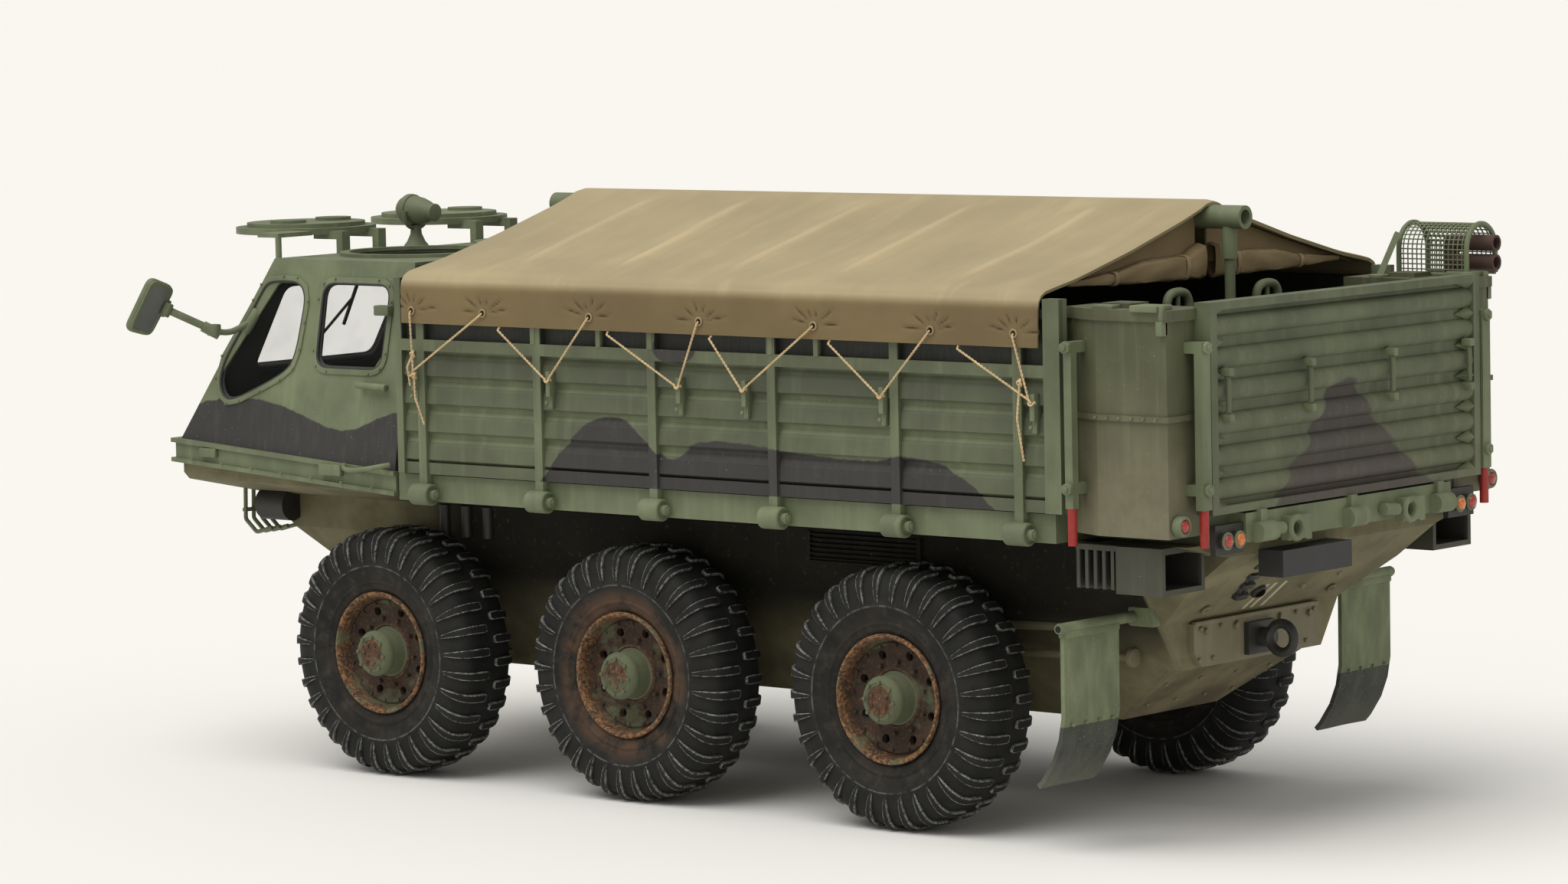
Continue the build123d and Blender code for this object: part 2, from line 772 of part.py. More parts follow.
def make_curtains():
    """The rear gable flaps, hanging from the tilt's sloping edge and rolled up at the foot."""
    x = tilt_rear_x + 1.6
    sections = ((1.8, 72.9, 2.2, 1.1), (7.0, 72.2, 1.6, 1.1), (20.4, 71.8, 0.6, 0.7), (29.5, 71.6, 0.4, 0.5))
    flaps = None
    for side in (-1, 1):
        rings = []
        for y, z, half_height, half_depth in sections:
            place = Plane(origin=(x, side * y, z), x_dir=(1, 0, 0), z_dir=(0, 1, 0))
            rings.append(place * Ellipse(half_depth, half_height))
        flap = loft(rings, ruled=True)
        gable = [(side * 1.8, 78.4), (side * 32.0, 71.8), (side * 29.5, 71.6), (side * 1.8, 74.0)]
        flap += front_profile(gable, x - 0.25, x + 0.25)
        flaps = flap if flaps is None else flaps + flap
    return flaps


# Lashing: runs of rope, from an eyelet or from under the hem to a cleat
eyelet_z = 66.2
rope_radius = 0.18


def lashing_runs():
    """(upper station, upper height, lower station) of each run, from front to rear."""
    hem = tilt_hem_z
    front, second, third, fourth, fifth, last = cleat_stations
    return (
        (eyelet_stations[0], eyelet_z, front),
        (eyelet_stations[1], eyelet_z, front),
        (hem_stations[0], hem, second),
        (eyelet_stations[2], eyelet_z, second),
        (hem_stations[1], hem, third),
        (eyelet_stations[3], eyelet_z, third),
        (hem_stations[2], hem, fourth),
        (eyelet_stations[4], eyelet_z, fourth),
        (hem_stations[3], hem, fifth),
        (eyelet_stations[5], eyelet_z, fifth),
        (hem_stations[4], hem, last),
        (eyelet_stations[6], eyelet_z, last),
    )


def make_lashing():
    runs = None
    for top_x, top_z, foot_x in lashing_runs():
        lean = 0.25 if foot_x < top_x else -0.25
        start = (top_x, tilt_half + rope_radius + 0.05, top_z)
        end = (foot_x + lean, side_y + 0.75 + rope_radius, cleat_high_z - 0.8)
        run = rod(start, end, rope_radius)
        runs = run if runs is None else runs + run
    return runs


# Exhaust on the right-hand rear corner: a riser outside the locker and two outlets
def make_exhaust():
    x = exhaust_x
    riser = rod((x, exhaust_y - 0.5, 47.0), (x, exhaust_y - 0.5, 74.4), exhaust_radius)
    for z in (71.2, 73.8):
        riser += rod((x, exhaust_y - 0.5, z), (x - 7.2, exhaust_y - 0.5, z), exhaust_radius)
        riser -= rod((x - 5.2, exhaust_y - 0.5, z), (x - 7.6, exhaust_y - 0.5, z), exhaust_radius - 0.3)
    return riser


def guard_arch(inset):
    """Outline of the arched guard, or of the space under it."""
    half = 3.6 - inset
    top = 76.6 - inset
    return front_profile(
        [
            (exhaust_y - half, locker_top_z - inset),
            (exhaust_y - half, top - 1.9),
            (exhaust_y - half + 1.7, top),
            (exhaust_y + half - 1.7, top),
            (exhaust_y + half, top - 1.9),
            (exhaust_y + half, locker_top_z - inset),
        ],
        exhaust_x - 5.2 - inset,
        exhaust_x + 6.0 + inset,
    )


def make_exhaust_guard():
    """An arched cage; its wire mesh is drawn as one thin sheet."""
    cage = guard_arch(0) - guard_arch(0.45)
    x = exhaust_x + 5.5
    strut = rod((x, -locker_inner_y - 0.9, locker_top_z), (x, exhaust_y + 3.3, 75.2), 0.5)
    return (cage + strut) - make_exhaust() - mirrored(make_locker())


# Two hoops that stand in the rear of the bed
def make_hoops():
    hoops = None
    x = tilt_rear_x - 1.4
    for y in (-9.9, 9.9):
        hoop = bent_rod(
            [(x, y - 1.6, bed_top_z), (x, y - 1.6, 71.6), (x, y + 1.6, 71.6), (x, y + 1.6, bed_top_z)],
            0.5,
            1.2,
        )
        hoops = hoop if hoops is None else hoops + hoop
    return hoops


# Mud flaps behind the rear wheels
def make_mudflap():
    bar = rod((flap_x, 20.0, flap_rod_z), (flap_x, flap_outer_y, flap_rod_z), 0.65)
    flap = side_profile(
        [
            (flap_x - 0.3, flap_rod_z),
            (flap_x - 0.3, 17.0),
            (flap_x + 1.0, 12.6),
            (flap_x + 3.6, 9.3),
            (flap_x + 4.1, 9.6),
            (flap_x + 1.5, 12.9),
            (flap_x + 0.3, 17.0),
            (flap_x + 0.3, flap_rod_z),
        ],
        flap_inner_y,
        flap_outer_y - 0.4,
    )
    return (bar + flap) - make_hull()


# Suspension: two arms, an upright and a spindle for each wheel
def make_suspension():
    unit = None
    for i in (-1, 0, 1):
        x = i * axle_pitch
        upright = rod((x, 19.6, tyre_radius), (x, 24.2, tyre_radius), 4.6)
        spindle = rod((x, 24.0, tyre_radius), (x, spindle_end_y, tyre_radius), spindle_radius)
        low = plan_profile([(x - 6, 8), (x + 6, 8), (x + 2, 21.6), (x - 2, 21.6)], 14.2, 15.8)
        high = plan_profile([(x - 5, 8), (x + 5, 8), (x + 2, 21.6), (x - 2, 21.6)], 20.6, 22.2)
        piece = upright + spindle + low + high
        unit = piece if unit is None else unit + piece
    unit = unit - make_hull()
    return Compound(children=[s for s in unit.solids() if s.volume > 20])


def make_side_pipes():
    """Three upright breather pipes on the hull, behind the front wheel."""
    pipes = None
    for x in (43.0, 38.8, 34.7):
        pipe = rod((x, hull_side_y + 0.2, 33.2), (x, hull_side_y + 0.2, shoulder_z), 0.8)
        pipes = pipe if pipes is None else pipes + pipe
    return pipes - make_hull()


# Wheels
def tyre_section():
    """The tyre's outline from bead to tread, below its lugs: (radius, y offset)."""
    half = tyre_width / 2 - sidewall_groove
    tread = tread_width / 2
    base = tyre_radius - groove_depth
    return [
        (rim_radius, -half * 0.78),
        (rim_radius + 1.4, -half * 0.9),
        (12.4, -half),
        (15.2, -half * 0.93),
        (base, -tread),
        (base, tread),
        (15.2, half * 0.93),
        (12.4, half),
        (rim_radius + 1.4, half * 0.9),
        (rim_radius, half * 0.78),
    ]


def tread_lug():
    """One bar of the tread, over the shoulder and down the sidewall: (y offset, radius)."""
    half, tread = tyre_width / 2, tread_width / 2
    outline = [
        (lug_gap, tyre_radius - 2 * groove_depth),
        (lug_gap, tyre_radius),
        (tread, tyre_radius),
        (half * 0.95, tyre_radius - 2.2),
        (half, lug_foot_radius),
        (half - 1.2, lug_foot_radius),
    ]
    return front_profile(outline, -lug_width / 2, lug_width / 2)


def make_tyre(x, side):
    outline = Plane.XY * make_face(Polyline(*tyre_section(), close=True))
    ring = revolve(outline, Axis.Y)
    pitch = 360 / lug_count
    lugs = []
    for i in range(lug_count):
        lugs.append(Rot(0, i * pitch, 0) * tread_lug())
        lugs.append(Rot(0, (i + 0.5) * pitch, 0) * mirrored(tread_lug()))
    return Pos(x, side * track_half, tyre_radius) * ring.fuse(*lugs)


def make_rim(x, side):
    half = tyre_width / 2 * 0.74
    barrel = Rot(90, 0, 0) * (
        Cylinder(rim_radius, 2 * half) - Cylinder(rim_radius - rim_wall, 3 * half)
    )
    disc = Pos(0, disc_y_offset, 0) * (Rot(90, 0, 0) * Cylinder(rim_radius, disc_thickness))
    barrel += disc
    hub_length = hub_face_y - track_half - disc_y_offset
    barrel += Pos(0, disc_y_offset + hub_length / 2, 0) * (
        Rot(90, 0, 0) * Cylinder(hub_radius, hub_length)
    )
    barrel += Pos(0, (disc_y_offset - 3.6) / 2, 0) * (
        Rot(90, 0, 0) * Cylinder(hub_radius, disc_y_offset + 3.6)
    )
    for i in range(8):
        angle = math.radians(45 * i + 22.5)
        place = Pos(5.4 * math.cos(angle), disc_y_offset, 5.4 * math.sin(angle))
        barrel -= place * (Rot(90, 0, 0) * Cylinder(0.75, 3))
    bore = spindle_radius + running_gap
    depth = spindle_end_y + 0.3 - track_half
    barrel -= Pos(0, depth / 2 - 5, 0) * (Rot(90, 0, 0) * Cylinder(bore, depth + 10))
    if side < 0:
        barrel = mirror(barrel, about=Plane.XZ)
    return Pos(x, side * track_half, tyre_radius) * barrel


keep("hull", make_hull())
keep("stern_band", make_stern_band())
keep("pintle_hook", make_pintle())
keep("rub_rail", make_rail())
keep("cab_shell", make_cab())
keep("cab_glass", make_glass())
keep("cab_interior", make_interior())
keep("steering_wheel", make_steering())
keep("roof_rings", make_roof_rings())
keep("lid_left", make_lid(hatch_y))
keep("lid_right", make_lid(-hatch_y))
keep("lid_stay", make_lid_stay())
keep("searchlight", make_searchlight())
keep("mirror_left", make_mirror())
keep("mirror_right", mirrored(make_mirror()))
keep("headlamp_left", make_headlamp())
keep("headlamp_right", mirrored(make_headlamp()))
keep("lamp_guard_left", make_guard())
keep("lamp_guard_right", mirrored(make_guard()))
keep("bed_floor", make_bed())
keep("front_bulkhead", make_bulkhead())
keep("side_left", make_side())
keep("side_right", mirrored(make_side()))
keep("side_hinges", make_side_hinges() + mirrored(make_side_hinges()))
keep("tailgate", make_gate())
keep("gate_hinges", make_gate_hinges())
keep("tow_eyes", make_tow_eyes())
keep("locker_left", make_locker())
keep("locker_right", mirrored(make_locker()))
keep("marker_lamps", make_marker_lamp() + mirrored(make_marker_lamp()))
keep("stay_bars", make_stay_bars() + mirrored(make_stay_bars()))
keep("bar_tips", make_bar_tips() + mirrored(make_bar_tips()))
keep("tail_lamps", make_tail_lamps())
keep("plate_box", make_plate_box())
keep("outlet_left", make_outlet())
keep("outlet_right", mirrored(make_outlet()))
keep("ridge_pole", make_ridge())
keep("tilt", make_tilt())
keep("rear_curtains", make_curtains())
keep("lashing", make_lashing() + mirrored(make_lashing()))
keep("bed_hoops", make_hoops())
keep("exhaust", make_exhaust())
keep("exhaust_guard", make_exhaust_guard())
keep("mudflap_left", make_mudflap())
keep("mudflap_right", mirrored(make_mudflap()))
keep("suspension_left", make_suspension())
keep("suspension_right", mirrored(make_suspension()))
keep("breather_pipes", make_side_pipes() + mirrored(make_side_pipes()))
for place, x in (("front", axle_pitch), ("middle", 0.0), ("rear", -axle_pitch)):
    for hand, side in (("left", 1), ("right", -1)):
        keep(f"tyre_{place}_{hand}", make_tyre(x, side))
        keep(f"rim_{place}_{hand}", make_rim(x, side))

os.makedirs("parts", exist_ok=True)
for name, shape in pieces.items():
    export_step(shape, f"parts/{name}.step")
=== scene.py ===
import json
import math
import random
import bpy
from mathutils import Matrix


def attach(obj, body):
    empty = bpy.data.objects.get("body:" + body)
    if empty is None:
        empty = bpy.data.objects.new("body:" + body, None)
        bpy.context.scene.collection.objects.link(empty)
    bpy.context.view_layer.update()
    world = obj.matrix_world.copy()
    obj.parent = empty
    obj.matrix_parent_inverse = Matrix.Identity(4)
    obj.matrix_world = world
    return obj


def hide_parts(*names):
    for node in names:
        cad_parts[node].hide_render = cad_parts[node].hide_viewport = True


bl_info = {
    "name": "Amphibious cargo truck scale model",
    "version": (1, 0, 0),
    "blender": (4, 5, 0),
    "location": "View3D > Sidebar > Truck",
    "description": "Builds the looks of a six-wheel amphibious cargo truck model round its packed frame",
    "category": "Object",
}

import bmesh
import bpy
from mathutils import Matrix, Vector

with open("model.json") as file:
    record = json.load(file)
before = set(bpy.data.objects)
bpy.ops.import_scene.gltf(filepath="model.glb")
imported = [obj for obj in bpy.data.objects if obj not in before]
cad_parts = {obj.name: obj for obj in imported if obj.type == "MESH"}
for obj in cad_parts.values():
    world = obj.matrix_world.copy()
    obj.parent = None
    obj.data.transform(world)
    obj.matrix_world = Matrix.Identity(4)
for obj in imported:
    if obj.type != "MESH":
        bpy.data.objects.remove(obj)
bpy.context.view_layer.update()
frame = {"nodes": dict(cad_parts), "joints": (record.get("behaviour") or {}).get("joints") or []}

# Places are given in millimetres: ahead of the middle axle, left of centre, above the ground
MM = 0.001
JOINTS = {j["name"]: j for j in frame["joints"]}
MIDDLE_X = JOINTS["middle_left_wheel_turn"]["pos_m"][0]
WHEELS = [f"{place}_{hand}" for place in ("front", "middle", "rear") for hand in ("left", "right")]
# Angles up to which a piece is shaded smooth, and from which a bar's edge is bevelled
ROUND_SMOOTH = math.radians(35)
TRIM_SMOOTH = math.radians(40)
CLOTH_SMOOTH = math.radians(60)
SHARP = 0.9
MIRRORED = Matrix.Scale(-1, 4, (0, 1, 0))
QUARTER_TURN = math.radians(90)
# Millimetres from a wheel's axis that one unit of its map stands for
WHEEL_MAP = 20
# The cab's side leans in from this half width at this height, by this much for each millimetre up
CAB_HALF, CAB_FOOT, CAB_LEAN = 36.2, 43.5, 0.1806


def at(x, y, z):
    """A point of the truck, from millimetres to the frame's metres."""
    return Vector((MIDDLE_X + x * MM, y * MM, z * MM))


# Meshes


def clear_selection():
    if bpy.context.object and bpy.context.object.mode != "OBJECT":
        bpy.ops.object.mode_set(mode="OBJECT")
    bpy.ops.object.select_all(action="DESELECT")


def choose(obj):
    clear_selection()
    obj.select_set(True)
    bpy.context.view_layer.objects.active = obj


def named(obj, name):
    obj.name = name
    obj.data.name = name
    return obj


def placed(obj):
    """Puts the object's place, turn and size into its mesh."""
    choose(obj)
    bpy.ops.object.transform_apply(location=True, rotation=True, scale=True)
    return obj


def joined(objs, name):
    clear_selection()
    for obj in objs:
        obj.select_set(True)
    bpy.context.view_layer.objects.active = objs[0]
    if len(objs) > 1:
        bpy.ops.object.join()
    return named(bpy.context.object, name)


def applied(obj, kind, **settings):
    """Adds a modifier to the object and applies it."""
    choose(obj)
    modifier = obj.modifiers.new(kind.title(), kind)
    for key, value in settings.items():
        setattr(modifier, key, value)
    bpy.ops.object.modifier_apply(modifier=modifier.name)
    return obj


def smoothed(obj, angle=ROUND_SMOOTH):
    choose(obj)
    bpy.ops.object.shade_smooth_by_angle(angle=angle)
    return obj


def bevelled(obj, width, **settings):
    """Rounds the sharp edges, by a width in millimetres."""
    if width:
        applied(obj, "BEVEL", width=width * MM, segments=2, limit_method="ANGLE", **settings)
    return obj


def block(low, high, bevel=0.12):
    """A bevelled block between two corners in millimetres."""
    clear_selection()
    a, b = at(*low), at(*high)
    bpy.ops.mesh.primitive_cube_add(size=1, location=(a + b) / 2)
    obj = bpy.context.object
    obj.scale = [abs(v) for v in b - a]
    return bevelled(placed(obj), bevel)


def bar(start, end, radius, sides=16, bevel=0.0, radius_end=None):
    """A round bar, or a taper, between two points in millimetres."""
    clear_selection()
    a, b = at(*start), at(*end)
    run = b - a
    turn = run.to_track_quat("Z", "Y").to_euler()
    bpy.ops.mesh.primitive_cone_add(
        vertices=sides,
        radius1=radius * MM,
        radius2=(radius if radius_end is None else radius_end) * MM,
        depth=run.length,
        location=(a + b) / 2,
        rotation=turn,
    )
    return bevelled(placed(bpy.context.object), bevel, angle_limit=SHARP)


def ring(centre, radius, thickness, direction, steps=24, sides=10):
    """A round ring about a point in millimetres, facing a direction."""
    clear_selection()
    bpy.ops.mesh.primitive_torus_add(
        major_segments=steps,
        minor_segments=sides,
        major_radius=radius * MM,
        minor_radius=thickness * MM,
        location=at(*centre),
        rotation=Vector(direction).to_track_quat("Z", "Y").to_euler(),
    )
    return placed(bpy.context.object)


def curve_mesh(lines, kind="POLY", cyclic=True, **settings):
    """A mesh made by a curve along lines of points in metres."""
    clear_selection()
    data = bpy.data.curves.new("line", "CURVE")
    data.dimensions = "3D"
    for key, value in settings.items():
        setattr(data, key, value)
    for line in lines:
        spline = data.splines.new(kind)
        spline.points.add(len(line) - 1)
        for i, point in enumerate(line):
            spline.points[i].co = (*point, 1)
        spline.use_cyclic_u = cyclic
        if kind == "NURBS":
            spline.order_u = 3
            spline.use_endpoint_u = not cyclic
            spline.resolution_u = 6
    obj = bpy.data.objects.new("line", data)
    bpy.context.scene.collection.objects.link(obj)
    choose(obj)
    bpy.ops.object.convert(target="MESH")
    return bpy.context.object


def wire(points, radius, cyclic=False, kind="POLY", sides=6):
    """A round wire along points in millimetres, as a mesh."""
    return curve_mesh(
        [[at(*point) for point in points]],
        kind,
        cyclic,
        bevel_depth=radius * MM,
        bevel_resolution=max(0, sides // 2 - 2),
        use_fill_caps=True,
    )


def turned(profile, steps):
    """A closed outline of (radius, along Y) in millimetres, turned about the Y axis."""
    obj = curve_mesh([[(radius * MM, along * MM, 0) for radius, along in profile]])
    applied(
        obj,
        "SCREW",
        axis="Y",
        steps=steps,
        render_steps=steps,
        use_merge_vertices=True,
        merge_threshold=0.00001,
        use_smooth_shade=True,
    )
    return outward(obj)


def outward(obj):
    """Merges doubles and turns every face outwards."""
    choose(obj)
    bpy.ops.object.mode_set(mode="EDIT")
    bpy.ops.mesh.select_all(action="SELECT")
    bpy.ops.mesh.remove_doubles(threshold=0.000002)
    bpy.ops.mesh.normals_make_consistent(inside=False)
    bpy.ops.object.mode_set(mode="OBJECT")
    return obj


def draped(columns, rows, shape):
    """A grid whose points go where shape(u, v) says, u and v from 0 to 1; shape gives millimetres."""
    clear_selection()
    bpy.ops.mesh.primitive_grid_add(x_subdivisions=columns, y_subdivisions=rows, size=2, calc_uvs=True)
    obj = bpy.context.object
    for vertex in obj.data.vertices:
        u, v = (vertex.co.x + 1) / 2, (vertex.co.y + 1) / 2
        vertex.co = at(*shape(u, v))
    return obj


def copies(pattern, places, name, keep=False):
    """Copies of one shape, each moved by a matrix, joined into one mesh."""
    made = []
    for place in places:
        copy = pattern.copy()
        copy.data = pattern.data.copy()
        copy.data.transform(place)
        if place.determinant() < 0:
            copy.data.flip_normals()
        bpy.context.scene.collection.objects.link(copy)
        made.append(copy)
    if not keep:
        bpy.data.objects.remove(pattern)
    return joined(made, name)


def studs(places, direction, radius, height, sides=6):
    """Small bolt heads, each standing on its place in millimetres along one direction."""
    clear_selection()
    bpy.ops.mesh.primitive_cylinder_add(
        vertices=sides, radius=radius * MM, depth=height * MM, location=(0, 0, height / 2 * MM)
    )
    pattern = placed(bpy.context.object)
    applied(pattern, "BEVEL", width=min(radius, height) * 0.3 * MM, segments=1, limit_method="ANGLE")
    turn = Vector(direction).to_track_quat("Z", "Y").to_matrix().to_4x4()
    return copies(pattern, [Matrix.Translation(at(*place)) @ turn for place in places], "studs")


def soften(points, radius, steps=6):
    """A closed outline with its corners rounded."""
    made = []
    for i, corner in enumerate(points):
        before, after = Vector(points[i - 1]), Vector(points[(i + 1) % len(points)])
        corner = Vector(corner)
        a = corner + (before - corner).normalized() * min(radius, (before - corner).length / 2)
        b = corner + (after - corner).normalized() * min(radius, (after - corner).length / 2)
        for k in range(steps + 1):
            t = k / steps
            made.append(tuple(a * (1 - t) ** 2 + corner * 2 * t * (1 - t) + b * t**2))
    return made


def grown(points, reach):
    """An outline moved outwards, by the way its neighbours lie."""
    area = sum(a[0] * b[1] - b[0] * a[1] for a, b in zip(points, points[1:] + points[:1]))
    reach = reach if area > 0 else -reach
    made = []
    for i, (x, y) in enumerate(points):
        before, after = Vector(points[i - 1]), Vector(points[(i + 1) % len(points)])
        run = (after - before).normalized()
        made.append((x + run.y * reach, y - run.x * reach))
    return made


def plate(outlines, thickness, bevel, place):
    """A flat plate with its first outline round it and the others as holes, moved by a matrix."""
    obj = curve_mesh(
        [[(point[0] * MM, point[1] * MM, 0) for point in points] for points in outlines],
        dimensions="2D",
        fill_mode="BOTH",
        extrude=(thickness / 2 - bevel) * MM,
        bevel_depth=bevel * MM,
        bevel_resolution=1,
    )
    obj.data.transform(place)
    return outward(obj)


def turned_block(centre, across, up, out, size, bevel=0.12):
    """A bevelled block about a point in millimetres, along three given directions."""
    clear_selection()
    bpy.ops.mesh.primitive_cube_add(size=1)
    obj = bpy.context.object
    obj.scale = [v * MM for v in size]
    bevelled(placed(obj), bevel)
    turn = Matrix((Vector(across), Vector(up), Vector(out))).transposed().to_4x4()
    obj.data.transform(Matrix.Translation(at(*centre)) @ turn)
    return obj


def between(rows, share):
    """The values at a share of the way through a table's rows."""
    place = share * (len(rows) - 1)
    i = min(int(place), len(rows) - 2)
    t = place - i
    return (a * (1 - t) + b * t for a, b in zip(rows[i], rows[i + 1]))


def mirror_copy(obj, name):
    """The same piece on the other side of the truck."""
    return copies(obj, [MIRRORED], name, keep=True)


def dressed(parts, name, look, replaces=(), smooth=ROUND_SMOOTH, mirrored=False):
    """Joins parts, with their mirror images if asked, then smooths and finishes them as one piece."""
    piece = joined(parts, name)
    if mirrored:
        piece = joined([piece, mirror_copy(piece, name + "_right")], name)
    return finish(smoothed(piece, smooth) if smooth else piece, name, look, replaces)


def finish(obj, name, look, replaces=(), body="truck"):
    """Names a piece, gives it its finish and lets it ride on its body."""
    named(obj, name)
    obj.data.materials.clear()
    obj.data.materials.append(finish_of(look))
    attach(obj, body)
    if replaces:
        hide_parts(*replaces)
    return obj


# Materials


def toned(colour, share, more=0.0):
    """A colour made lighter or darker."""
    return tuple(min(1, c * share + more) for c in colour)


class Socket:
    """A node's output, on which Python's operators add Math nodes."""

    def __init__(self, shop, out):
        self.shop, self.out = shop, out

    def __add__(self, other):
        return self.shop.maths("ADD", self, other)

    __radd__ = __add__

    def __sub__(self, other):
        return self.shop.maths("SUBTRACT", self, other)

    def __rsub__(self, other):
        return self.shop.maths("SUBTRACT", other, self)

    def __mul__(self, other):
        return self.shop.maths("MULTIPLY", self, other)

    __rmul__ = __mul__

    def __truediv__(self, other):
        return self.shop.maths("DIVIDE", self, other)

    def __pow__(self, other):
        return self.shop.maths("POWER", self, other)

    def __abs__(self):
        return self.shop.maths("ABSOLUTE", self, 0)

    def least(self, other):
        return self.shop.maths("MINIMUM", self, other)

    def most(self, other):
        return self.shop.maths("MAXIMUM", self, other)

    def step(self, low, high):
        """0 below low and 1 above high, smooth in between."""
        return self.shop.node(
            "ShaderNodeMapRange",
            {"interpolation_type": "SMOOTHSTEP"},
            {"Value": self, "From Min": low, "From Max": high},
        )


class Finish:
    """One material: its nodes and short ways to add them."""

    def __init__(self, name, roughness=0.7, metallic=0.0):
        self.material = bpy.data.materials.new(name)
        self.material.use_nodes = True
        self.tree = self.material.node_tree
        self.shader = next(n for n in self.tree.nodes if n.type == "BSDF_PRINCIPLED")
        self.shader.inputs["Roughness"].default_value = roughness
        self.shader.inputs["Metallic"].default_value = metallic
        self.place = self.node("ShaderNodeTexCoord", out="Object")
        split = self.node("ShaderNodeSeparateXYZ", {}, {"Vector": self.place}, out=None)
        x, y, z = (Socket(self, split.outputs[i]) for i in range(3))
        self.x, self.y, self.z = (x - MIDDLE_X) * 1000, y * 1000, z * 1000

    def node(self, kind, settings=(), inputs=(), out=0):
        """Adds a node: its settings first, then the values or links of its sockets."""
        made = self.tree.nodes.new(kind)
        for key, value in dict(settings).items():
            if key == "stops":
                made.color_ramp.interpolation = "CARDINAL"
                while len(made.color_ramp.elements) < len(value):
                    made.color_ramp.elements.new(0.5)
                for element, (position, colour) in zip(made.color_ramp.elements, value):
                    element.position = position
                    element.color = (*colour, 1) if hasattr(colour, "__len__") else (colour,) * 3 + (1,)
            else:
                setattr(made, key, value)
        for key, value in dict(inputs).items():
            self.feed(made.inputs[key], value)
        return made if out is None else Socket(self, made.outputs[out])

    def feed(self, socket, value):
        if isinstance(value, Socket):
            self.tree.links.new(value.out, socket)
        elif hasattr(value, "__len__") and socket.type == "RGBA":
            socket.default_value = (*value, 1)
        else:
            socket.default_value = value

    def maths(self, operation, a, b):
        return self.node("ShaderNodeMath", {"operation": operation}, {0: a, 1: b})

    def mix(self, share, a, b):
        """Colour a turning into colour b as share goes from 0 to 1."""
        return self.node("ShaderNodeMix", {"data_type": "RGBA"}, {0: share, 6: a, 7: b}, out=2)

    def noise(self, size, detail=3.0, stretch=(1, 1, 1), rough=0.55, offset=0.0):
        """Noise from 0 to 1 whose grains are about size millimetres, longer along a stretched axis."""
        scale = [1 / (size * MM * s) for s in stretch]
        vector = self.node(
            "ShaderNodeMapping", {}, {"Vector": self.place, "Scale": scale, "Location": (offset, 0, 0)}
        )
        return self.node(
            "ShaderNodeTexNoise",
            {},
            {"Vector": vector, "Scale": 1.0, "Detail": detail, "Roughness": rough},
        )

    def curve(self, value, low, high, stops):
        """A curve through (position, height) stops over value from low to high; heights are 0 to 1."""
        share = (value - low) / (high - low)
        return self.node("ShaderNodeValToRGB", {"stops": stops}, {0: share})

    def attribute(self, name):
        """A number that a mesh keeps for each of its points."""
        return self.node("ShaderNodeAttribute", {"attribute_name": name}, out="Fac")

    def bump(self, height, distance, strength=1.0):
        made = self.node(
            "ShaderNodeBump", {}, {"Height": height, "Distance": distance * MM, "Strength": strength}
        )
        self.set(Normal=made)

    def set(self, **values):
        for key, value in values.items():
            self.feed(self.shader.inputs[key.replace("_", " ")], value)
        return self


# Colours of dirt and wear, of the tyres' pale edges, of painted shade in recesses and under the bed, and of
# the backdrop and lamps
DUST = (0.235, 0.205, 0.130)
SPECKS = (0.30, 0.30, 0.22)
PALE_EDGE_RUBBER = (0.36, 0.36, 0.34)
FRESH_RUST = (0.260, 0.112, 0.038)
DEEP_SHADE = (0.016, 0.016, 0.014)
# painted shadow that the bed casts on the hull's side
PAINTED_BED_SHADOW = (0.006, 0.0058, 0.004)
STRIPES = (0.46, 0.42, 0.30)
BACKDROP = (0.945, 0.928, 0.868)
LAMP_TINT = (1.0, 0.985, 0.95)

# Height of the dark patches' upper edge along each side of the cab and bed, in millimetres
CAB_PATCH = (
    (41.4, 51.5), (45.4, 50.2), (51.0, 48.7), (58.7, 50.3), (67.1, 52.2), (76.4, 52.1), (81.3, 51.3),
)
SIDE_PATCH = (
    (-67.5, 43.0), (-63.7, 45.9), (-58.5, 48.4), (-51.6, 49.7), (-46.4, 48.8), (-33.1, 49.3),
    (-22.0, 50.3), (-15.4, 49.6), (-11.9, 47.6), (-8.4, 49.0), (-4.3, 51.8), (0.5, 52.6), (5.0, 50.6),
    (9.5, 46.4), (13.5, 42.0),
)
GATE_PATCH = (
    (-20.0, 43.0), (-13.3, 47.6), (-8.0, 51.6), (-4.5, 54.9), (-1.9, 58.2), (1.6, 58.4), (4.3, 56.4),
    (9.3, 50.5), (13.1, 47.3), (17.5, 43.0),
)


def patch_edge(shop, value, table):
    """The height of a patch's edge over value, from a table of (place, height)."""
    low, high = table[0][0], table[-1][0]
    floor, span = 40.0, 20.0
    stops = [((a - low) / (high - low), (h - floor) / span) for a, h in table]
    return shop.curve(value, low, high, stops) * span + floor


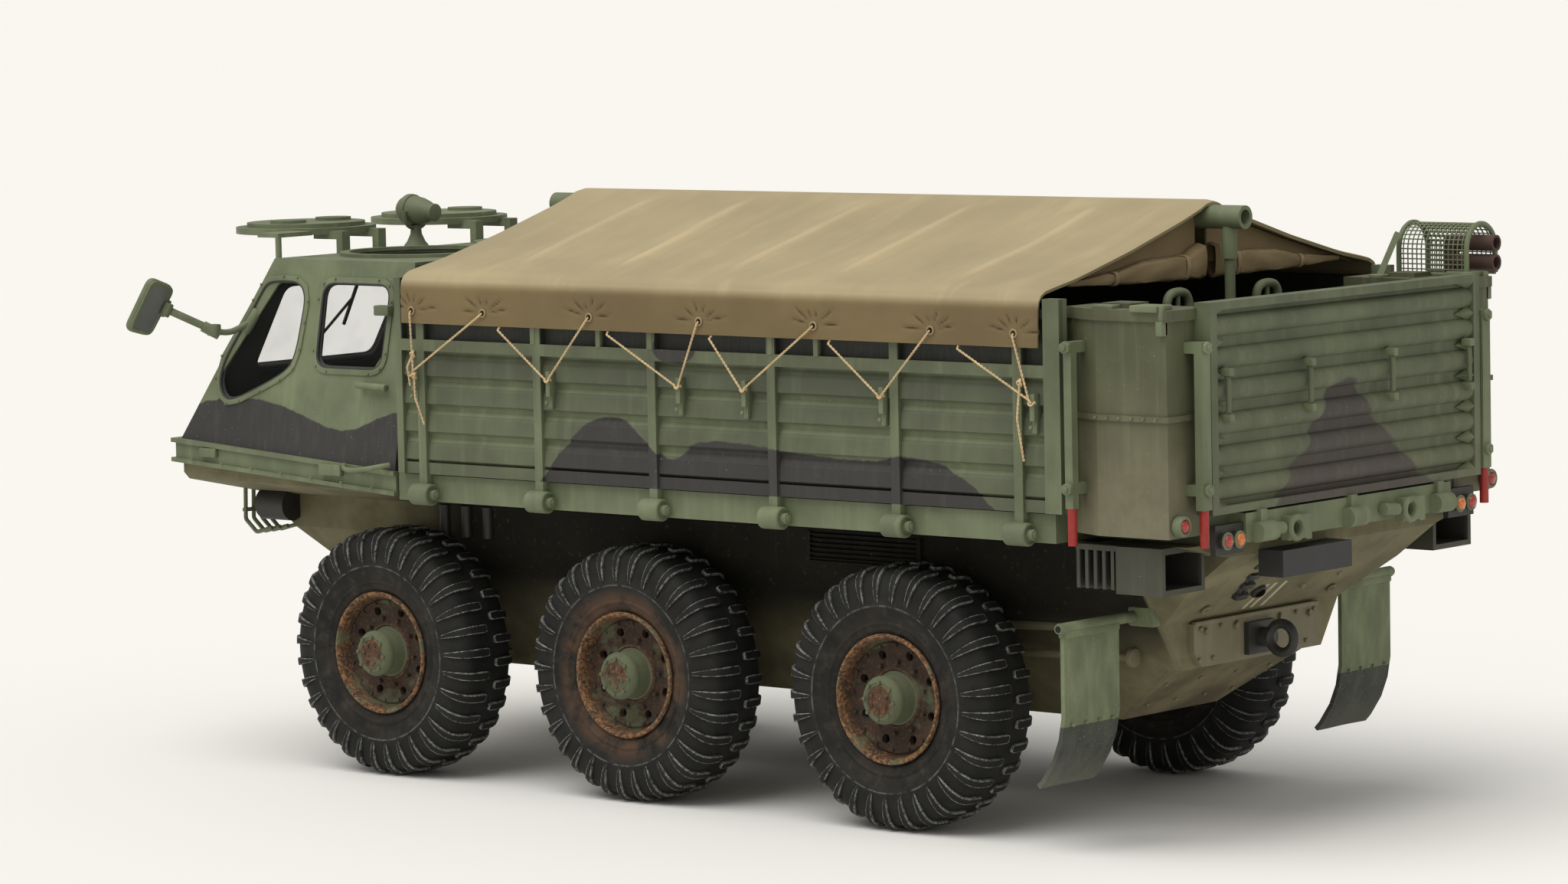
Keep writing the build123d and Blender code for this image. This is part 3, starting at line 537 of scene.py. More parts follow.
def painted(name, green, dark=None, patch=None, dust=0.25, dust_top=44.0, streaks=0.35, inside=None):
    """Matt green paint with faded streaks, dust near the ground and dark patches, and near black where
    inside marks: painted shade on the drop sides and in the outlets, the dark inner faces in the cab.
    """
    shop = Finish(name, roughness=0.62)
    faded = toned(green, 1.28, 0.012)
    deep = toned(green, 0.72)
    cloud = shop.noise(9.0, 3)
    base = shop.mix(cloud.step(0.35, 0.72), deep, green)
    streak = shop.noise(4.0, 3, (0.5, 0.5, 6.0), 0.55)
    base = shop.mix(streak.step(0.45, 0.85) * (streaks + 0.2), base, faded)
    if patch:
        wobble = (shop.noise(1.6, 2) - 0.5) * 0.6
        share = patch(shop, wobble)
        worn = shop.noise(2.2, 3, (0.5, 0.5, 6.0), offset=3.0)
        tone = shop.mix(worn.step(0.45, 0.85) * 0.6, dark, toned(dark, 1.9))
        base = shop.mix(share, base, tone)
    rain = shop.noise(2.4, 3, (0.35, 0.35, 9.0), 0.6, offset=7.0)
    base = shop.mix(rain.step(0.55, 0.85) * streaks, base, toned(green, 0.55))
    speck = shop.noise(0.32, 1, rough=0.7, offset=11.0)
    base = shop.mix(speck.step(0.74, 0.78) * 0.6, base, SPECKS)
    spread = shop.noise(5.0, 5, rough=0.65, offset=5.0)
    # near black where inside marks: painted shade in the drop sides' slot and grooves and the outlets'
    # ducts, the cab's dark inner faces
    if inside:
        base = shop.mix(inside(shop), base, DEEP_SHADE)
    low = 1 - shop.z.step(dust_top - 26.0, dust_top)
    grime = (low * (spread * 1.5)).least(1) * dust
    base = shop.mix(grime, base, DUST)
    shop.set(Base_Color=base, Roughness=0.55 + spread * 0.22)
    shop.bump(shop.noise(0.35, 3, rough=0.6) * 0.5 + shop.noise(2.2, 3) * 0.5, 0.05, 0.35)
    return shop.material


def side_patch(shop, wobble):
    edge = patch_edge(shop, shop.x, SIDE_PATCH)
    inside = (shop.x + 67.5).step(0, 0.6) * (13.5 - shop.x).step(0, 0.6)
    upper = ((shop.x + 13.0) ** 2 / 16 + (shop.z - 62.4) ** 2 / 5).step(0.8, 1.0)
    return ((edge + wobble - shop.z).step(-0.15, 0.15) * inside).most(1 - upper)


def side_gap(shop):
    """Painted shade in the slot above the drop side's middle rail and in the grooves below it, growing
    darker towards the top of the side.
    """
    across = abs(shop.y)
    slot = (37.0 - across).step(0.0, 0.1) * (shop.z - 62.1).step(0.0, 0.1) * (shop.x + 75.0).step(0.0, 0.1)
    slot = slot * (0.80 + shop.noise(1.6, 2, (0.2, 0.2, 2.0), offset=2.0) * 0.3).least(1)
    groove_shade = (37.42 - across).step(0.0, 0.65) * (across - 36.3).step(0.0, 0.1)
    shade = (shop.z - 51.0).step(0.0, 9.5) * (37.6 - across).step(0.0, 0.1) * 0.18
    return slot.most(groove_shade * 0.38 + shade)


def gate_patch(shop, wobble):
    edge = patch_edge(shop, shop.y, GATE_PATCH)
    return (edge + wobble - shop.z).step(-0.4, 0.4)


def cab_patch(shop, wobble):
    """Dark at the foot of the cab's sides and nose."""
    edge = patch_edge(shop, shop.x, CAB_PATCH)
    return (edge + wobble - shop.z).step(-0.15, 0.15)


def cab_inside(shop):
    """The cab's inner faces, by how far they lie behind its skin."""
    half = 36.2 - (shop.z - 43.6) * 0.181
    skin = (abs(shop.y) - half + 0.55).step(0, 0.2)
    slope = (83.4 - (shop.z - 46.3) * 0.592) - 0.75
    skin = skin.most((shop.x - slope).step(0, 0.2)).most((shop.z - 71.75).step(0, 0.2))
    return 1 - skin


def plain(name, colour, roughness=0.6, metallic=0.0, grain=1.2, bump=0.03):
    """One colour with soft tone changes and a fine surface."""
    shop = Finish(name, roughness, metallic)
    cloud = shop.noise(grain * 3, 4)
    base = shop.mix(cloud.step(0.3, 0.75), toned(colour, 0.75), colour)
    speck = shop.noise(grain * 0.4, 3, offset=4.0)
    base = shop.mix(speck.step(0.6, 0.8) * 0.4, base, toned(colour, 1.5, 0.01))
    shop.set(Base_Color=base, Roughness=roughness - 0.12 + cloud * 0.24)
    shop.bump(shop.noise(grain * 0.3, 3), bump, 0.5)
    return shop.material


def wheel_reach(shop):
    """The distance from the wheel's axis in millimetres, from the U of the wheel's map."""
    spot = shop.node("ShaderNodeUVMap", {"uv_map": "wheel"})
    split = shop.node("ShaderNodeSeparateXYZ", {}, {"Vector": spot}, out=None)
    return Socket(shop, split.outputs[0]) * WHEEL_MAP


def rusted(name, green):
    """Rust over green paint, with painted shade darkening the recessed dish."""
    shop = Finish(name, roughness=0.8)
    reach = wheel_reach(shop)
    coarse, fine = shop.noise(2.4, 5, rough=0.7), shop.noise(0.5, 4, rough=0.75, offset=3.0)
    rust = shop.mix(coarse.step(0.35, 0.7), (0.034, 0.021, 0.013), (0.090, 0.041, 0.018))
    rust = shop.mix(fine.step(0.50, 0.68) * 0.8, rust, FRESH_RUST)
    rust = shop.mix(fine.step(0.34, 0.22), rust, (0.022, 0.014, 0.011))
    ledge = (reach - 7.6).step(0.0, 0.4)
    rust = shop.mix(ledge * fine.step(0.42, 0.62) * 0.8, rust, (0.30, 0.150, 0.060))
    patchy = shop.noise(4.2, 3, rough=0.6, offset=13.0)
    kept = patchy.step(0.52, 0.66) * 0.7
    hub = (3.7 - reach).step(0.0, 0.25) * (reach - 1.9).step(0.0, 0.25) * 1.05
    # painted shade: the recessed dish darkened towards near black
    dish_shade = (7.7 - reach).step(0.0, 0.5) * (reach - 3.8).step(0.0, 0.3)
    rust = shop.mix(dish_shade * 0.55, rust, (0.017, 0.013, 0.009))
    mask = (kept.most(hub) - coarse.step(0.5, 0.75) * 0.6 - fine.step(0.55, 0.7) * 0.5).most(0)
    base = shop.mix(mask, rust, toned(green, 0.66))
    dirt = shop.noise(3.5, 4, offset=9.0)
    base = shop.mix(dirt.step(0.55, 0.85) * 0.2, base, (0.16, 0.120, 0.070))
    shop.set(Base_Color=base, Roughness=0.72 + fine * 0.25)
    shop.bump(fine * 0.6 + coarse * 0.4, 0.12, 0.7)
    return shop.material


def tyre_rubber(name, colour, stained):
    """Rubber: pale marks on the bars' outer edges, dust in the grooves, a rust run on some."""
    shop = Finish(name, roughness=0.78)
    reach = wheel_reach(shop)
    edge = shop.attribute("edge")
    cloud, fine = shop.noise(4.0, 4, rough=0.6), shop.noise(0.35, 4, rough=0.7, offset=2.0)
    base = shop.mix(cloud.step(0.3, 0.75), toned(colour, 0.7), toned(colour, 1.25))
    worn = shop.noise(1.1, 3, offset=12.0)
    pale_edge = edge.step(0.45, 0.95) * (0.12 + fine.step(0.35, 0.6)) * worn.step(0.25, 0.6)
    base = shop.mix(pale_edge.least(1) * 0.70, base, PALE_EDGE_RUBBER)
    dust = shop.noise(1.8, 5, rough=0.7, offset=6.0)
    low = (13.5 - reach).step(0.0, 3.0)
    base = shop.mix(dust.step(0.45, 0.8) * (0.08 + low * 0.26), base, (0.115, 0.105, 0.085))
    ring_line = (0.16 - abs(reach - 12.3)).step(0.0, 0.1)
    base = shop.mix(ring_line * worn.step(0.35, 0.65) * 0.3, base, (0.28, 0.28, 0.27))
    run = (12.4 - reach).step(0.0, 2.5) * cloud.step(0.36, 0.6) * stained
    base = shop.mix(run, base, (0.095, 0.052, 0.030))
    shop.shader.inputs["Specular IOR Level"].default_value = 0.2
    shop.set(Base_Color=base, Roughness=0.52 + dust * 0.3)
    shop.bump(fine * 0.5 + dust * 0.5, 0.06, 0.6)
    return shop.material


def canvas(name, colour):
    """Painted canvas: broad tone changes, a fine weave, lighter fold crests, and painted shade in the fold
    troughs and in the creases by the eyelets.
    """
    shop = Finish(name, roughness=0.82)
    crease = shop.attribute("crease")
    cloud = shop.noise(16.0, 4, (1, 1, 1), 0.55)
    flow = shop.noise(7.0, 4, (0.5, 2.6, 1.2), 0.6, offset=4.0)
    base = shop.mix(cloud.step(0.3, 0.72), toned(colour, 0.84), colour)
    base = shop.mix(flow.step(0.5, 0.8) * 0.4, base, toned(colour, 1.22))
    base = shop.mix(flow.step(0.42, 0.2) * 0.35, base, toned(colour, 0.74))
    crest = shop.attribute("crest")
    base = shop.mix(crest.step(0.12, 0.75) * 0.62, base, toned(colour, 1.55))
    # painted shade: the folds' troughs darkened
    base = shop.mix(crest.step(0.0, -0.12) * 0.25, base, toned(colour, 0.72))
    stain = shop.noise(1.3, 5, (2.0, 1, 1), 0.7, offset=8.0)
    base = shop.mix(stain.step(0.66, 0.82) * 0.35, base, (0.12, 0.072, 0.040))
    band = (70.6 - shop.z).step(0.0, 1.4) * abs(shop.y).step(37.0, 37.6)
    band_tone = shop.mix(cloud.step(0.3, 0.7), (0.116, 0.077, 0.028), (0.156, 0.108, 0.040))
    base = shop.mix(band * 0.88, base, band_tone)
    # painted shade in the pulled creases by the eyelets
    base = shop.mix(crease.step(0.25, 0.95) * 0.75, base, (0.050, 0.028, 0.016))
    shop.set(Base_Color=base, Roughness=0.76 + cloud * 0.14)
    threads = {"Vector": shop.place, "Scale": 900.0, "Distortion": 0.6}
    warp, weft = (
        shop.node("ShaderNodeTexWave", {"bands_direction": axis}, threads, out="Fac") for axis in "XY"
    )
    shop.bump((warp + weft) * 0.25 + shop.noise(0.5, 3) * 0.4 + flow * 0.9, 0.06, 0.35)
    return shop.material


def clear_glass(name):
    shop = Finish(name, roughness=0.06)
    smear = shop.noise(6.0, 4)
    shop.set(Base_Color=(0.030, 0.031, 0.028), Alpha=0.07 + smear.step(0.45, 0.8) * 0.05)
    return shop.material


def lens(name, colour):
    shop = Finish(name, roughness=0.18)
    shop.set(Coat_Weight=0.6)
    cell = shop.node(
        "ShaderNodeTexVoronoi", {}, {"Vector": shop.place, "Scale": 2600.0}, out="Distance"
    )
    shop.set(Base_Color=shop.mix(cell, toned(colour, 1.3), toned(colour, 0.5)))
    return shop.material


FINISHES = {}


def finish_of(name):
    """The named material, made when it is first asked for."""
    if name in FINISHES:
        return FINISHES[name]
    tones = bpy.context.scene.truck_colours
    green, dark = tuple(tones.green), tuple(tones.dark)
    makers = {
        "green": lambda: painted("green_paint", green),
        # the drop sides get painted shade in their slot and grooves through side_gap
        "green_side": lambda: painted("side_paint", green, dark, side_patch, streaks=0.45, inside=side_gap),
        # the gate's green is darkened to 0.70 as painted shade of its rear face, which the key light does
        # not reach
        "green_gate": lambda: painted(
            "shade_darkened_gate_paint", toned(green, 0.70), (0.040, 0.034, 0.030), gate_patch, streaks=0.4,
            dust=0.20, dust_top=64.0,
        ),
        "green_cab": lambda: painted(
            "cab_paint", green, toned(dark, 0.78), cab_patch, streaks=0.3, inside=cab_inside
        ),
        "locker": lambda: painted(
            "locker_paint", (0.088, 0.094, 0.046), streaks=0.75, dust=0.62, dust_top=66.0
        ),
        # the outlets' ducts get painted shade
        "outlet": lambda: painted("outlet_paint", (0.048, 0.050, 0.033), inside=outlet_duct_shade),
        "hull": lambda: hull_finish("hull_paint", tuple(tones.hull)),
        "stern": lambda: painted("stern_paint", (0.170, 0.152, 0.086), dust=0.5, dust_top=40.0),
        "steel": lambda: plain("dark_steel", (0.045, 0.044, 0.038), 0.5, 0.4),
        "black": lambda: plain("black_plastic", (0.018, 0.018, 0.018), 0.5),
        "inside": lambda: plain("interior_paint", (0.030, 0.031, 0.026), 0.75),
        "rope": lambda: plain("twine", tuple(tones.rope), 0.9, grain=0.5, bump=0.05),
        "strap": lambda: plain("strap_web", (0.33, 0.25, 0.14), 0.85, grain=0.5),
        "red": lambda: plain("red_paint", (0.33, 0.022, 0.014), 0.5, grain=0.7),
        "red_lens": lambda: lens("red_lens", (0.36, 0.018, 0.010)),
        "orange_lens": lambda: lens("orange_lens", (0.62, 0.155, 0.020)),
        "pipe_rust": lambda: plain("exhaust_rust", (0.075, 0.040, 0.030), 0.8, grain=0.8, bump=0.08),
        "rim": lambda: rusted("rusty_rim", green),
        "tyre": lambda: tyre_rubber("tyre_rubber", tuple(tones.rubber), 0.12),
        "tyre_stained": lambda: tyre_rubber("tyre_rubber_stained", tuple(tones.rubber), 0.75),
        "canvas": lambda: canvas("tilt_canvas", tuple(tones.canvas)),
        "curtain": lambda: canvas(
            "curtain_canvas", tuple(c * k for c, k in zip(tones.canvas, (0.58, 0.52, 0.44)))
        ),
        "glass": lambda: clear_glass("window_glass"),
        "mirror": lambda: plain("mirror_glass", (0.155, 0.160, 0.155), 0.45, grain=2.6),
        "seal": lambda: plain("window_seal", (0.030, 0.030, 0.027), 0.65),
        "flap": lambda: flap_finish("flap_rubber", green),
        # near black for painted shade in holes and open pipe ends
        "hole": lambda: plain("painted_shade_black", (0.006, 0.006, 0.005), 0.9),
    }
    FINISHES[name] = makers[name]()
    return FINISHES[name]


def outlet_duct_shade(shop):
    """Painted shade inside the jet outlets' ducts."""
    across = abs(shop.y)
    duct = (across - 26.2).step(0, 0.1) * (34.0 - across).step(0, 0.1)
    duct = duct * (shop.z - 34.2).step(0, 0.1) * (38.9 - shop.z).step(0, 0.1)
    return duct * (shop.x + 91.0).step(0, 0.4)


def hull_finish(name, colour):
    """Dusty green-brown with a painted shadow under the bed, tan on the belly's slope, with three worn
    stripes astern.
    """
    shop = Finish(name, roughness=0.8)
    cloud, fine = shop.noise(8.0, 4, rough=0.6), shop.noise(1.2, 4, rough=0.7, offset=5.0)
    base = shop.mix(cloud.step(0.3, 0.72), toned(colour, 0.72), toned(colour, 1.2))
    # painted shadow: near black on the hull's side under the overhanging bed
    bed_shadow = shop.z.step(20.0, 29.0) * (shop.x + 79.5).step(0.0, 0.7) * (52.0 - shop.x).step(0.0, 14.0)
    base = shop.mix(bed_shadow * (0.86 + cloud * 0.2).least(0.97), base, PAINTED_BED_SHADOW)
    belly = (0.5 - abs(shop.x + shop.z * 1.456 + 46.8)).step(0.0, 0.2)
    belly_tone = shop.mix(cloud.step(0.35, 0.7), (0.100, 0.082, 0.048), (0.20, 0.162, 0.100))
    base = shop.mix(belly * 0.75, base, belly_tone)
    lean = shop.y - (shop.z - 28.5) * 0.22
    stripe = (0.42 - abs(lean - 3.4)).most(0.42 - abs(lean - 1.6)).most(0.42 - abs(lean + 0.7))
    stripe = stripe.step(0.0, 0.12) * (shop.z - 28.2).step(0.0, 0.1) * (31.9 - shop.z).step(0.0, 0.1)
    stripe = stripe * (-80.2 - shop.x).step(0, 0.1)
    base = shop.mix(stripe * (1.25 - fine.step(0.45, 0.75)).least(1), base, STRIPES)
    base = shop.mix(fine.step(0.6, 0.8) * 0.35, base, (0.24, 0.20, 0.13))
    rain = shop.noise(2.0, 3, (0.4, 0.4, 7.0), offset=9.0)
    base = shop.mix(rain.step(0.6, 0.85) * 0.35, base, toned(colour, 0.4))
    shop.shader.inputs["Specular IOR Level"].default_value = 0.2
    shop.set(Base_Color=base, Roughness=0.7 + cloud * 0.2)
    shop.bump(fine, 0.06, 0.4)
    return shop.material


def flap_finish(name, green):
    """A painted flap whose lower third is bare dusty rubber."""
    shop = Finish(name, roughness=0.75)
    cloud = shop.noise(2.5, 4, (1, 1, 2.5))
    upper = shop.mix(cloud.step(0.35, 0.7), toned(green, 0.82), toned(green, 1.22))
    lower = shop.mix(cloud.step(0.3, 0.7), (0.036, 0.039, 0.032), (0.062, 0.066, 0.050))
    base = shop.mix((16.4 - shop.z).step(0.0, 0.2), upper, lower)
    base = shop.mix((13.5 - shop.z).step(0.0, 6.5) * 0.55, base, (0.150, 0.145, 0.110))
    mud = shop.noise(0.6, 4, rough=0.7, offset=3.0)
    base = shop.mix(mud.step(0.60, 0.74) * 0.3, base, (0.26, 0.24, 0.17))
    speck = shop.noise(0.22, 2, rough=0.6, offset=15.0)
    base = shop.mix(speck.step(0.66, 0.72) * 0.7, base, (0.36, 0.33, 0.25))
    shop.set(Base_Color=base)
    shop.bump(mud, 0.08, 0.5)
    return shop.material


# Operators


class TRUCK_OT_stage(bpy.types.Operator):
    """Adds the camera, the lights and the pale floor"""

    bl_idname = "truck.stage"
    bl_label = "Stage"

    def execute(self, context):
        scene = context.scene
        look = scene.truck_stage
        azimuth, pitch, roll = (math.radians(v) for v in (-49.551, 5.179, -1.228))
        ahead = Vector(
            (math.cos(pitch) * math.cos(azimuth), math.cos(pitch) * math.sin(azimuth), -math.sin(pitch))
        )
        right = ahead.cross(Vector((0, 0, 1))).normalized()
        up = right.cross(ahead)
        right, up = (
            right * math.cos(roll) + up * math.sin(roll),
            up * math.cos(roll) - right * math.sin(roll),
        )
        data = bpy.data.cameras.new("camera")
        focal_pixels, frame_pixels = 7441.18, 2048
        data.lens = data.sensor_width * focal_pixels / frame_pixels
        data.clip_start, data.clip_end = 0.01, 100
        camera = bpy.data.objects.new("camera", data)
        turn = Matrix((right, up, -ahead)).transposed().to_4x4()
        camera.matrix_world = Matrix.Translation(at(-513.421, 601.932, 118.022)) @ turn
        scene.collection.objects.link(camera)
        scene.camera = camera

        clear_selection()
        bpy.ops.mesh.primitive_plane_add(size=40, location=(0, 0, 0))
        floor = named(context.object, "floor")
        shop = Finish("floor_card", roughness=0.9)
        shop.set(Base_Color=tuple(look.floor))
        floor.data.materials.append(shop.material)

        world = bpy.data.worlds.new("studio")
        world.use_nodes = True
        scene.world = world
        tree = world.node_tree
        sky = tree.nodes["Background"]
        sky.inputs["Color"].default_value = (*LAMP_TINT, 1)
        sky.inputs["Strength"].default_value = look.ambient
        card = tree.nodes.new("ShaderNodeBackground")
        card.inputs["Color"].default_value = (*BACKDROP, 1)
        mixer = tree.nodes.new("ShaderNodeMixShader")
        path = tree.nodes.new("ShaderNodeLightPath")
        tree.links.new(path.outputs["Is Camera Ray"], mixer.inputs[0])
        tree.links.new(sky.outputs[0], mixer.inputs[1])
        tree.links.new(card.outputs[0], mixer.inputs[2])
        tree.links.new(mixer.outputs[0], tree.nodes["World Output"].inputs[0])

        for name, strength, spread, travel in (
            ("key", look.key, 60, (-0.08, -0.38, -0.92)),
            ("fill", look.key * 0.10, 90, (0.75, -0.45, -0.45)),
        ):
            sun = bpy.data.lights.new(name, "SUN")
            sun.energy = strength
            sun.angle = math.radians(spread)
            sun.color = LAMP_TINT
            lamp = bpy.data.objects.new(name, sun)
            lamp.rotation_euler = Vector(travel).to_track_quat("-Z", "Y").to_euler()
            scene.collection.objects.link(lamp)
        scene.view_settings.view_transform = "Standard"
        return {"FINISHED"}


def fit_to_wheels(pattern, kind, spin, looks):
    """Puts a copy on each wheel, each turned a bit further; looks go front, middle, rear."""
    for i, wheel in enumerate(WHEELS):
        hub = Vector(JOINTS[f"{wheel}_wheel_turn"]["pos_m"])
        flip = MIRRORED if wheel.endswith("right") else Matrix()
        place = Matrix.Translation(hub) @ flip @ Matrix.Rotation(spin * i, 4, "Y")
        fitted = copies(pattern, [place], f"{wheel}_{kind}", keep=True)
        finish(fitted, f"{wheel}_{kind}", looks[i // 2], [f"{kind}_{wheel}"], f"wheel_{wheel}")
    bpy.data.objects.remove(pattern)


class TRUCK_OT_tyres(bpy.types.Operator):
    """Models the bar-tread tyre once and fits a copy to each wheel"""

    bl_idname = "truck.tyres"
    bl_label = "Tyres"

    def execute(self, context):
        sizes = context.scene.truck_sizes
        half = [
            (17.0, 0.0), (16.98, 1.8), (16.88, 3.2), (16.58, 4.05), (16.0, 4.65), (15.0, 5.06),
            (13.8, 5.28), (12.7, 5.34), (12.48, 5.44), (12.2, 5.44), (12.0, 5.3), (11.2, 5.12),
            (10.3, 4.9), (10.15, 5.0), (9.9, 5.0), (9.75, 4.84), (9.3, 4.74), (9.0, 4.66),
            (8.75, 4.4), (8.4, 4.3),
        ]
        outline = half + [(r, -a) for r, a in reversed(half)][:-1]
        carcass = turned(outline, 128)
        # (offset from the middle, radius, width) along one bar
        path = [
            (0.6, 16.93, 0.8), (0.95, 16.95, 1.05), (2.0, 16.94, 1.1), (3.2, 16.84, 1.05),
            (4.05, 16.5, 1.0), (4.65, 15.9, 0.95), (4.98, 15.0, 0.8), (5.1, 14.0, 0.6),
            (5.04, 13.2, 0.45), (4.9, 12.8, 0.2),
        ]
        lug = self.bar_lug(path, sizes.bar_width)
        pitch = math.tau / sizes.bars
        places = []
        for i in range(sizes.bars):
            places.append(Matrix.Rotation(i * pitch, 4, "Y"))
            places.append(Matrix.Rotation((i + 0.5) * pitch, 4, "Y") @ MIRRORED)
        lugs = copies(lug, places, "lugs")
        self.mark(carcass)
        tyre = smoothed(joined([carcass, lugs], "tyre"), TRIM_SMOOTH)
        map_wheel(tyre)
        fit_to_wheels(tyre, "tyre", 0.21, ("tyre", "tyre_stained", "tyre"))
        return {"FINISHED"}

    def bar_lug(self, path, width):
        """One bar: a block drawn along the tread's section by extruding its end face."""
        clear_selection()
        across, radius, share = path[0]
        depth = 1.0
        bpy.ops.mesh.primitive_grid_add(
            x_subdivisions=4, y_subdivisions=1, size=1, rotation=(QUARTER_TURN, 0, 0)
        )
        obj = bpy.context.object
        obj.scale = (width * share * MM, depth * MM, 1)
        obj.location = (0, across * MM, radius * MM)
        placed(obj)
        choose(obj)
        bpy.ops.object.mode_set(mode="EDIT")
        bpy.ops.mesh.select_all(action="SELECT")
        heading, before = 0.0, share
        for (a0, r0, _), (a1, r1, share) in zip(path, path[1:]):
            here = Vector((0, a1 * MM, r1 * MM))
            bpy.ops.mesh.extrude_region_move(
                TRANSFORM_OT_translate={"value": (0, (a1 - a0) * MM, (r1 - r0) * MM)}
            )
            angle = math.atan2(r1 - r0, a1 - a0)
            bpy.ops.transform.rotate(
                value=-(angle - heading), orient_axis="X", orient_type="GLOBAL", center_override=here
            )
            bpy.ops.transform.resize(value=(share / before, 1, 1), center_override=here)
            heading, before = angle, share
        bpy.ops.object.mode_set(mode="OBJECT")
        outward(obj)
        bevelled(obj, 0.14, angle_limit=SHARP)
        self.mark(obj, path, width)
        return obj

    def mark(self, obj, path=(), width=0.0):
        """Marks how near each point is to a bar's outer edge, for the pale edges."""
        layer = obj.data.attributes.new("edge", "FLOAT", "POINT")
        for i, vertex in enumerate(obj.data.vertices):
            if not path:
                layer.data[i].value = 0.0
                continue
            off, reach = vertex.co.y / MM, vertex.co.z / MM
            a, r, share = min(path, key=lambda p: math.hypot(p[0] - off, p[1] - reach))
            side = abs(vertex.co.x) / MM > 0.36 * width * share or off < 0.75
            outer = math.hypot(off, reach - 11.5) > math.hypot(a, r - 11.5) + 0.1
            layer.data[i].value = 1.0 if side and outer else 0.0


def map_wheel(obj):
    """A map whose U is the distance from the axis and V the turn about it."""
    for layer in list(obj.data.uv_layers):
        obj.data.uv_layers.remove(layer)
    layer = obj.data.uv_layers.new(name="wheel")
    for loop in obj.data.loops:
        co = obj.data.vertices[loop.vertex_index].co
        reach = math.hypot(co.x, co.z) / (WHEEL_MAP * MM)
        layer.data[loop.index].uv = (reach, 0.5 + math.atan2(co.z, co.x) / math.tau)


class TRUCK_OT_rims(bpy.types.Operator):
    """Models the steel rim, its hub and bolts once and fits a copy to each wheel"""

    bl_idname = "truck.rims"
    bl_label = "Rims"

    def execute(self, context):
        outline = [
            (2.08, 4.5), (2.08, -3.6), (3.1, -3.6), (3.15, 1.6), (7.3, 1.7), (7.45, -3.4), (7.9, -4.3),
            (8.5, -4.5), (8.35, -3.6), (8.2, 0.0), (8.25, 3.3), (8.45, 4.2), (8.62, 4.75), (8.5, 5.0),
            (8.2, 5.02), (7.95, 4.75), (7.85, 4.1), (7.7, 3.3), (7.45, 2.95), (7.2, 3.2), (6.95, 3.2),
            (6.7, 2.85), (6.2, 2.65), (5.2, 2.55), (4.2, 2.7), (3.9, 3.1), (3.75, 3.15), (3.6, 2.95),
            (3.3, 3.05), (3.15, 3.4), (3.08, 5.2), (3.2, 5.3), (3.2, 5.75), (3.05, 5.95), (2.75, 6.4),
            (2.45, 6.5), (2.2, 6.4), (2.1, 6.5), (0.0, 6.52), (0.0, 4.5),
        ]
        wheel_body = smoothed(outward(turned(outline, 72)), math.radians(50))
        cutters = []
        for i in range(8):
            angle = math.tau * (i + 0.5) / 8
            cutters.append(self.stud(5.95 * math.cos(angle), 5.95 * math.sin(angle), 0.0, 5.0, 0.62, 16))
        cutter = joined(cutters, "cutter")
        applied(wheel_body, "BOOLEAN", operation="DIFFERENCE", solver="EXACT", object=cutter)
        bpy.data.objects.remove(cutter)
        drum = turned([(2.3, -3.4), (6.7, -3.4), (6.9, -3.2), (6.9, 1.0), (6.7, 1.2), (2.3, 1.2)], 48)
        parts = [wheel_body, smoothed(drum, TRIM_SMOOTH)]
        for count, reach, low, high, radius in (
            (10, 4.75, 2.5, 3.25, 0.3), (16, 6.95, 3.1, 3.5, 0.22), (8, 2.45, 6.3, 6.8, 0.26),
            (6, 1.35, 6.4, 6.72, 0.24),
        ):
            for i in range(count):
                angle = math.tau * i / count + 0.1
                parts.append(
                    self.stud(reach * math.cos(angle), reach * math.sin(angle), low, high, radius, 6)
                )
        rim = smoothed(joined(parts, "rim"), TRIM_SMOOTH)
        map_wheel(rim)
        fit_to_wheels(rim, "rim", 0.4, ("rim",) * 3)
        return {"FINISHED"}

    def stud(self, x, z, low, high, radius, sides):
        """A bolt or a cutter along the wheel's axis."""
        clear_selection()
        bpy.ops.mesh.primitive_cylinder_add(
            vertices=sides,
            radius=radius * MM,
            depth=(high - low) * MM,
            location=(x * MM, (low + high) / 2 * MM, z * MM),
            rotation=(QUARTER_TURN, 0, 0),
        )
        return placed(bpy.context.object)


# Eyelets and cleats along the sides are given as shares of the drop side's length
SIDE_FRONT, SIDE_LENGTH = 38.5, 116.1


def along_side(*shares):
    return [SIDE_FRONT - share * SIDE_LENGTH for share in shares]


EYELETS = along_side(0.035, 0.151, 0.320, 0.489, 0.659, 0.827, 0.943)
CLEATS = along_side(0.034, 0.252, 0.454, 0.553, 0.754, 0.966)
HEM_STARTS = along_side(0.175, 0.346, 0.505, 0.680, 0.863)
EYELET_Z = 66.2
# Ends of the tilt, and the height of the shoulder between its slope and its hem band
TILT_FRONT, TILT_REAR = 36.8, -74.6
SHOULDER_Z = 71

# Half section of the tilt from the ridge to the hem: (left of centre, height)
TILT_SECTION = (
    (0.0, 81.25), (1.4, 81.05), (2.8, 80.5), (8.0, 79.0), (18.0, 76.1), (28.0, 73.6), (34.0, 72.25),
    (36.0, 71.75), (37.0, 71.2), (37.6, 70.3), (37.85, 69.2), (37.9, 67.2), (37.9, 64.45),
)


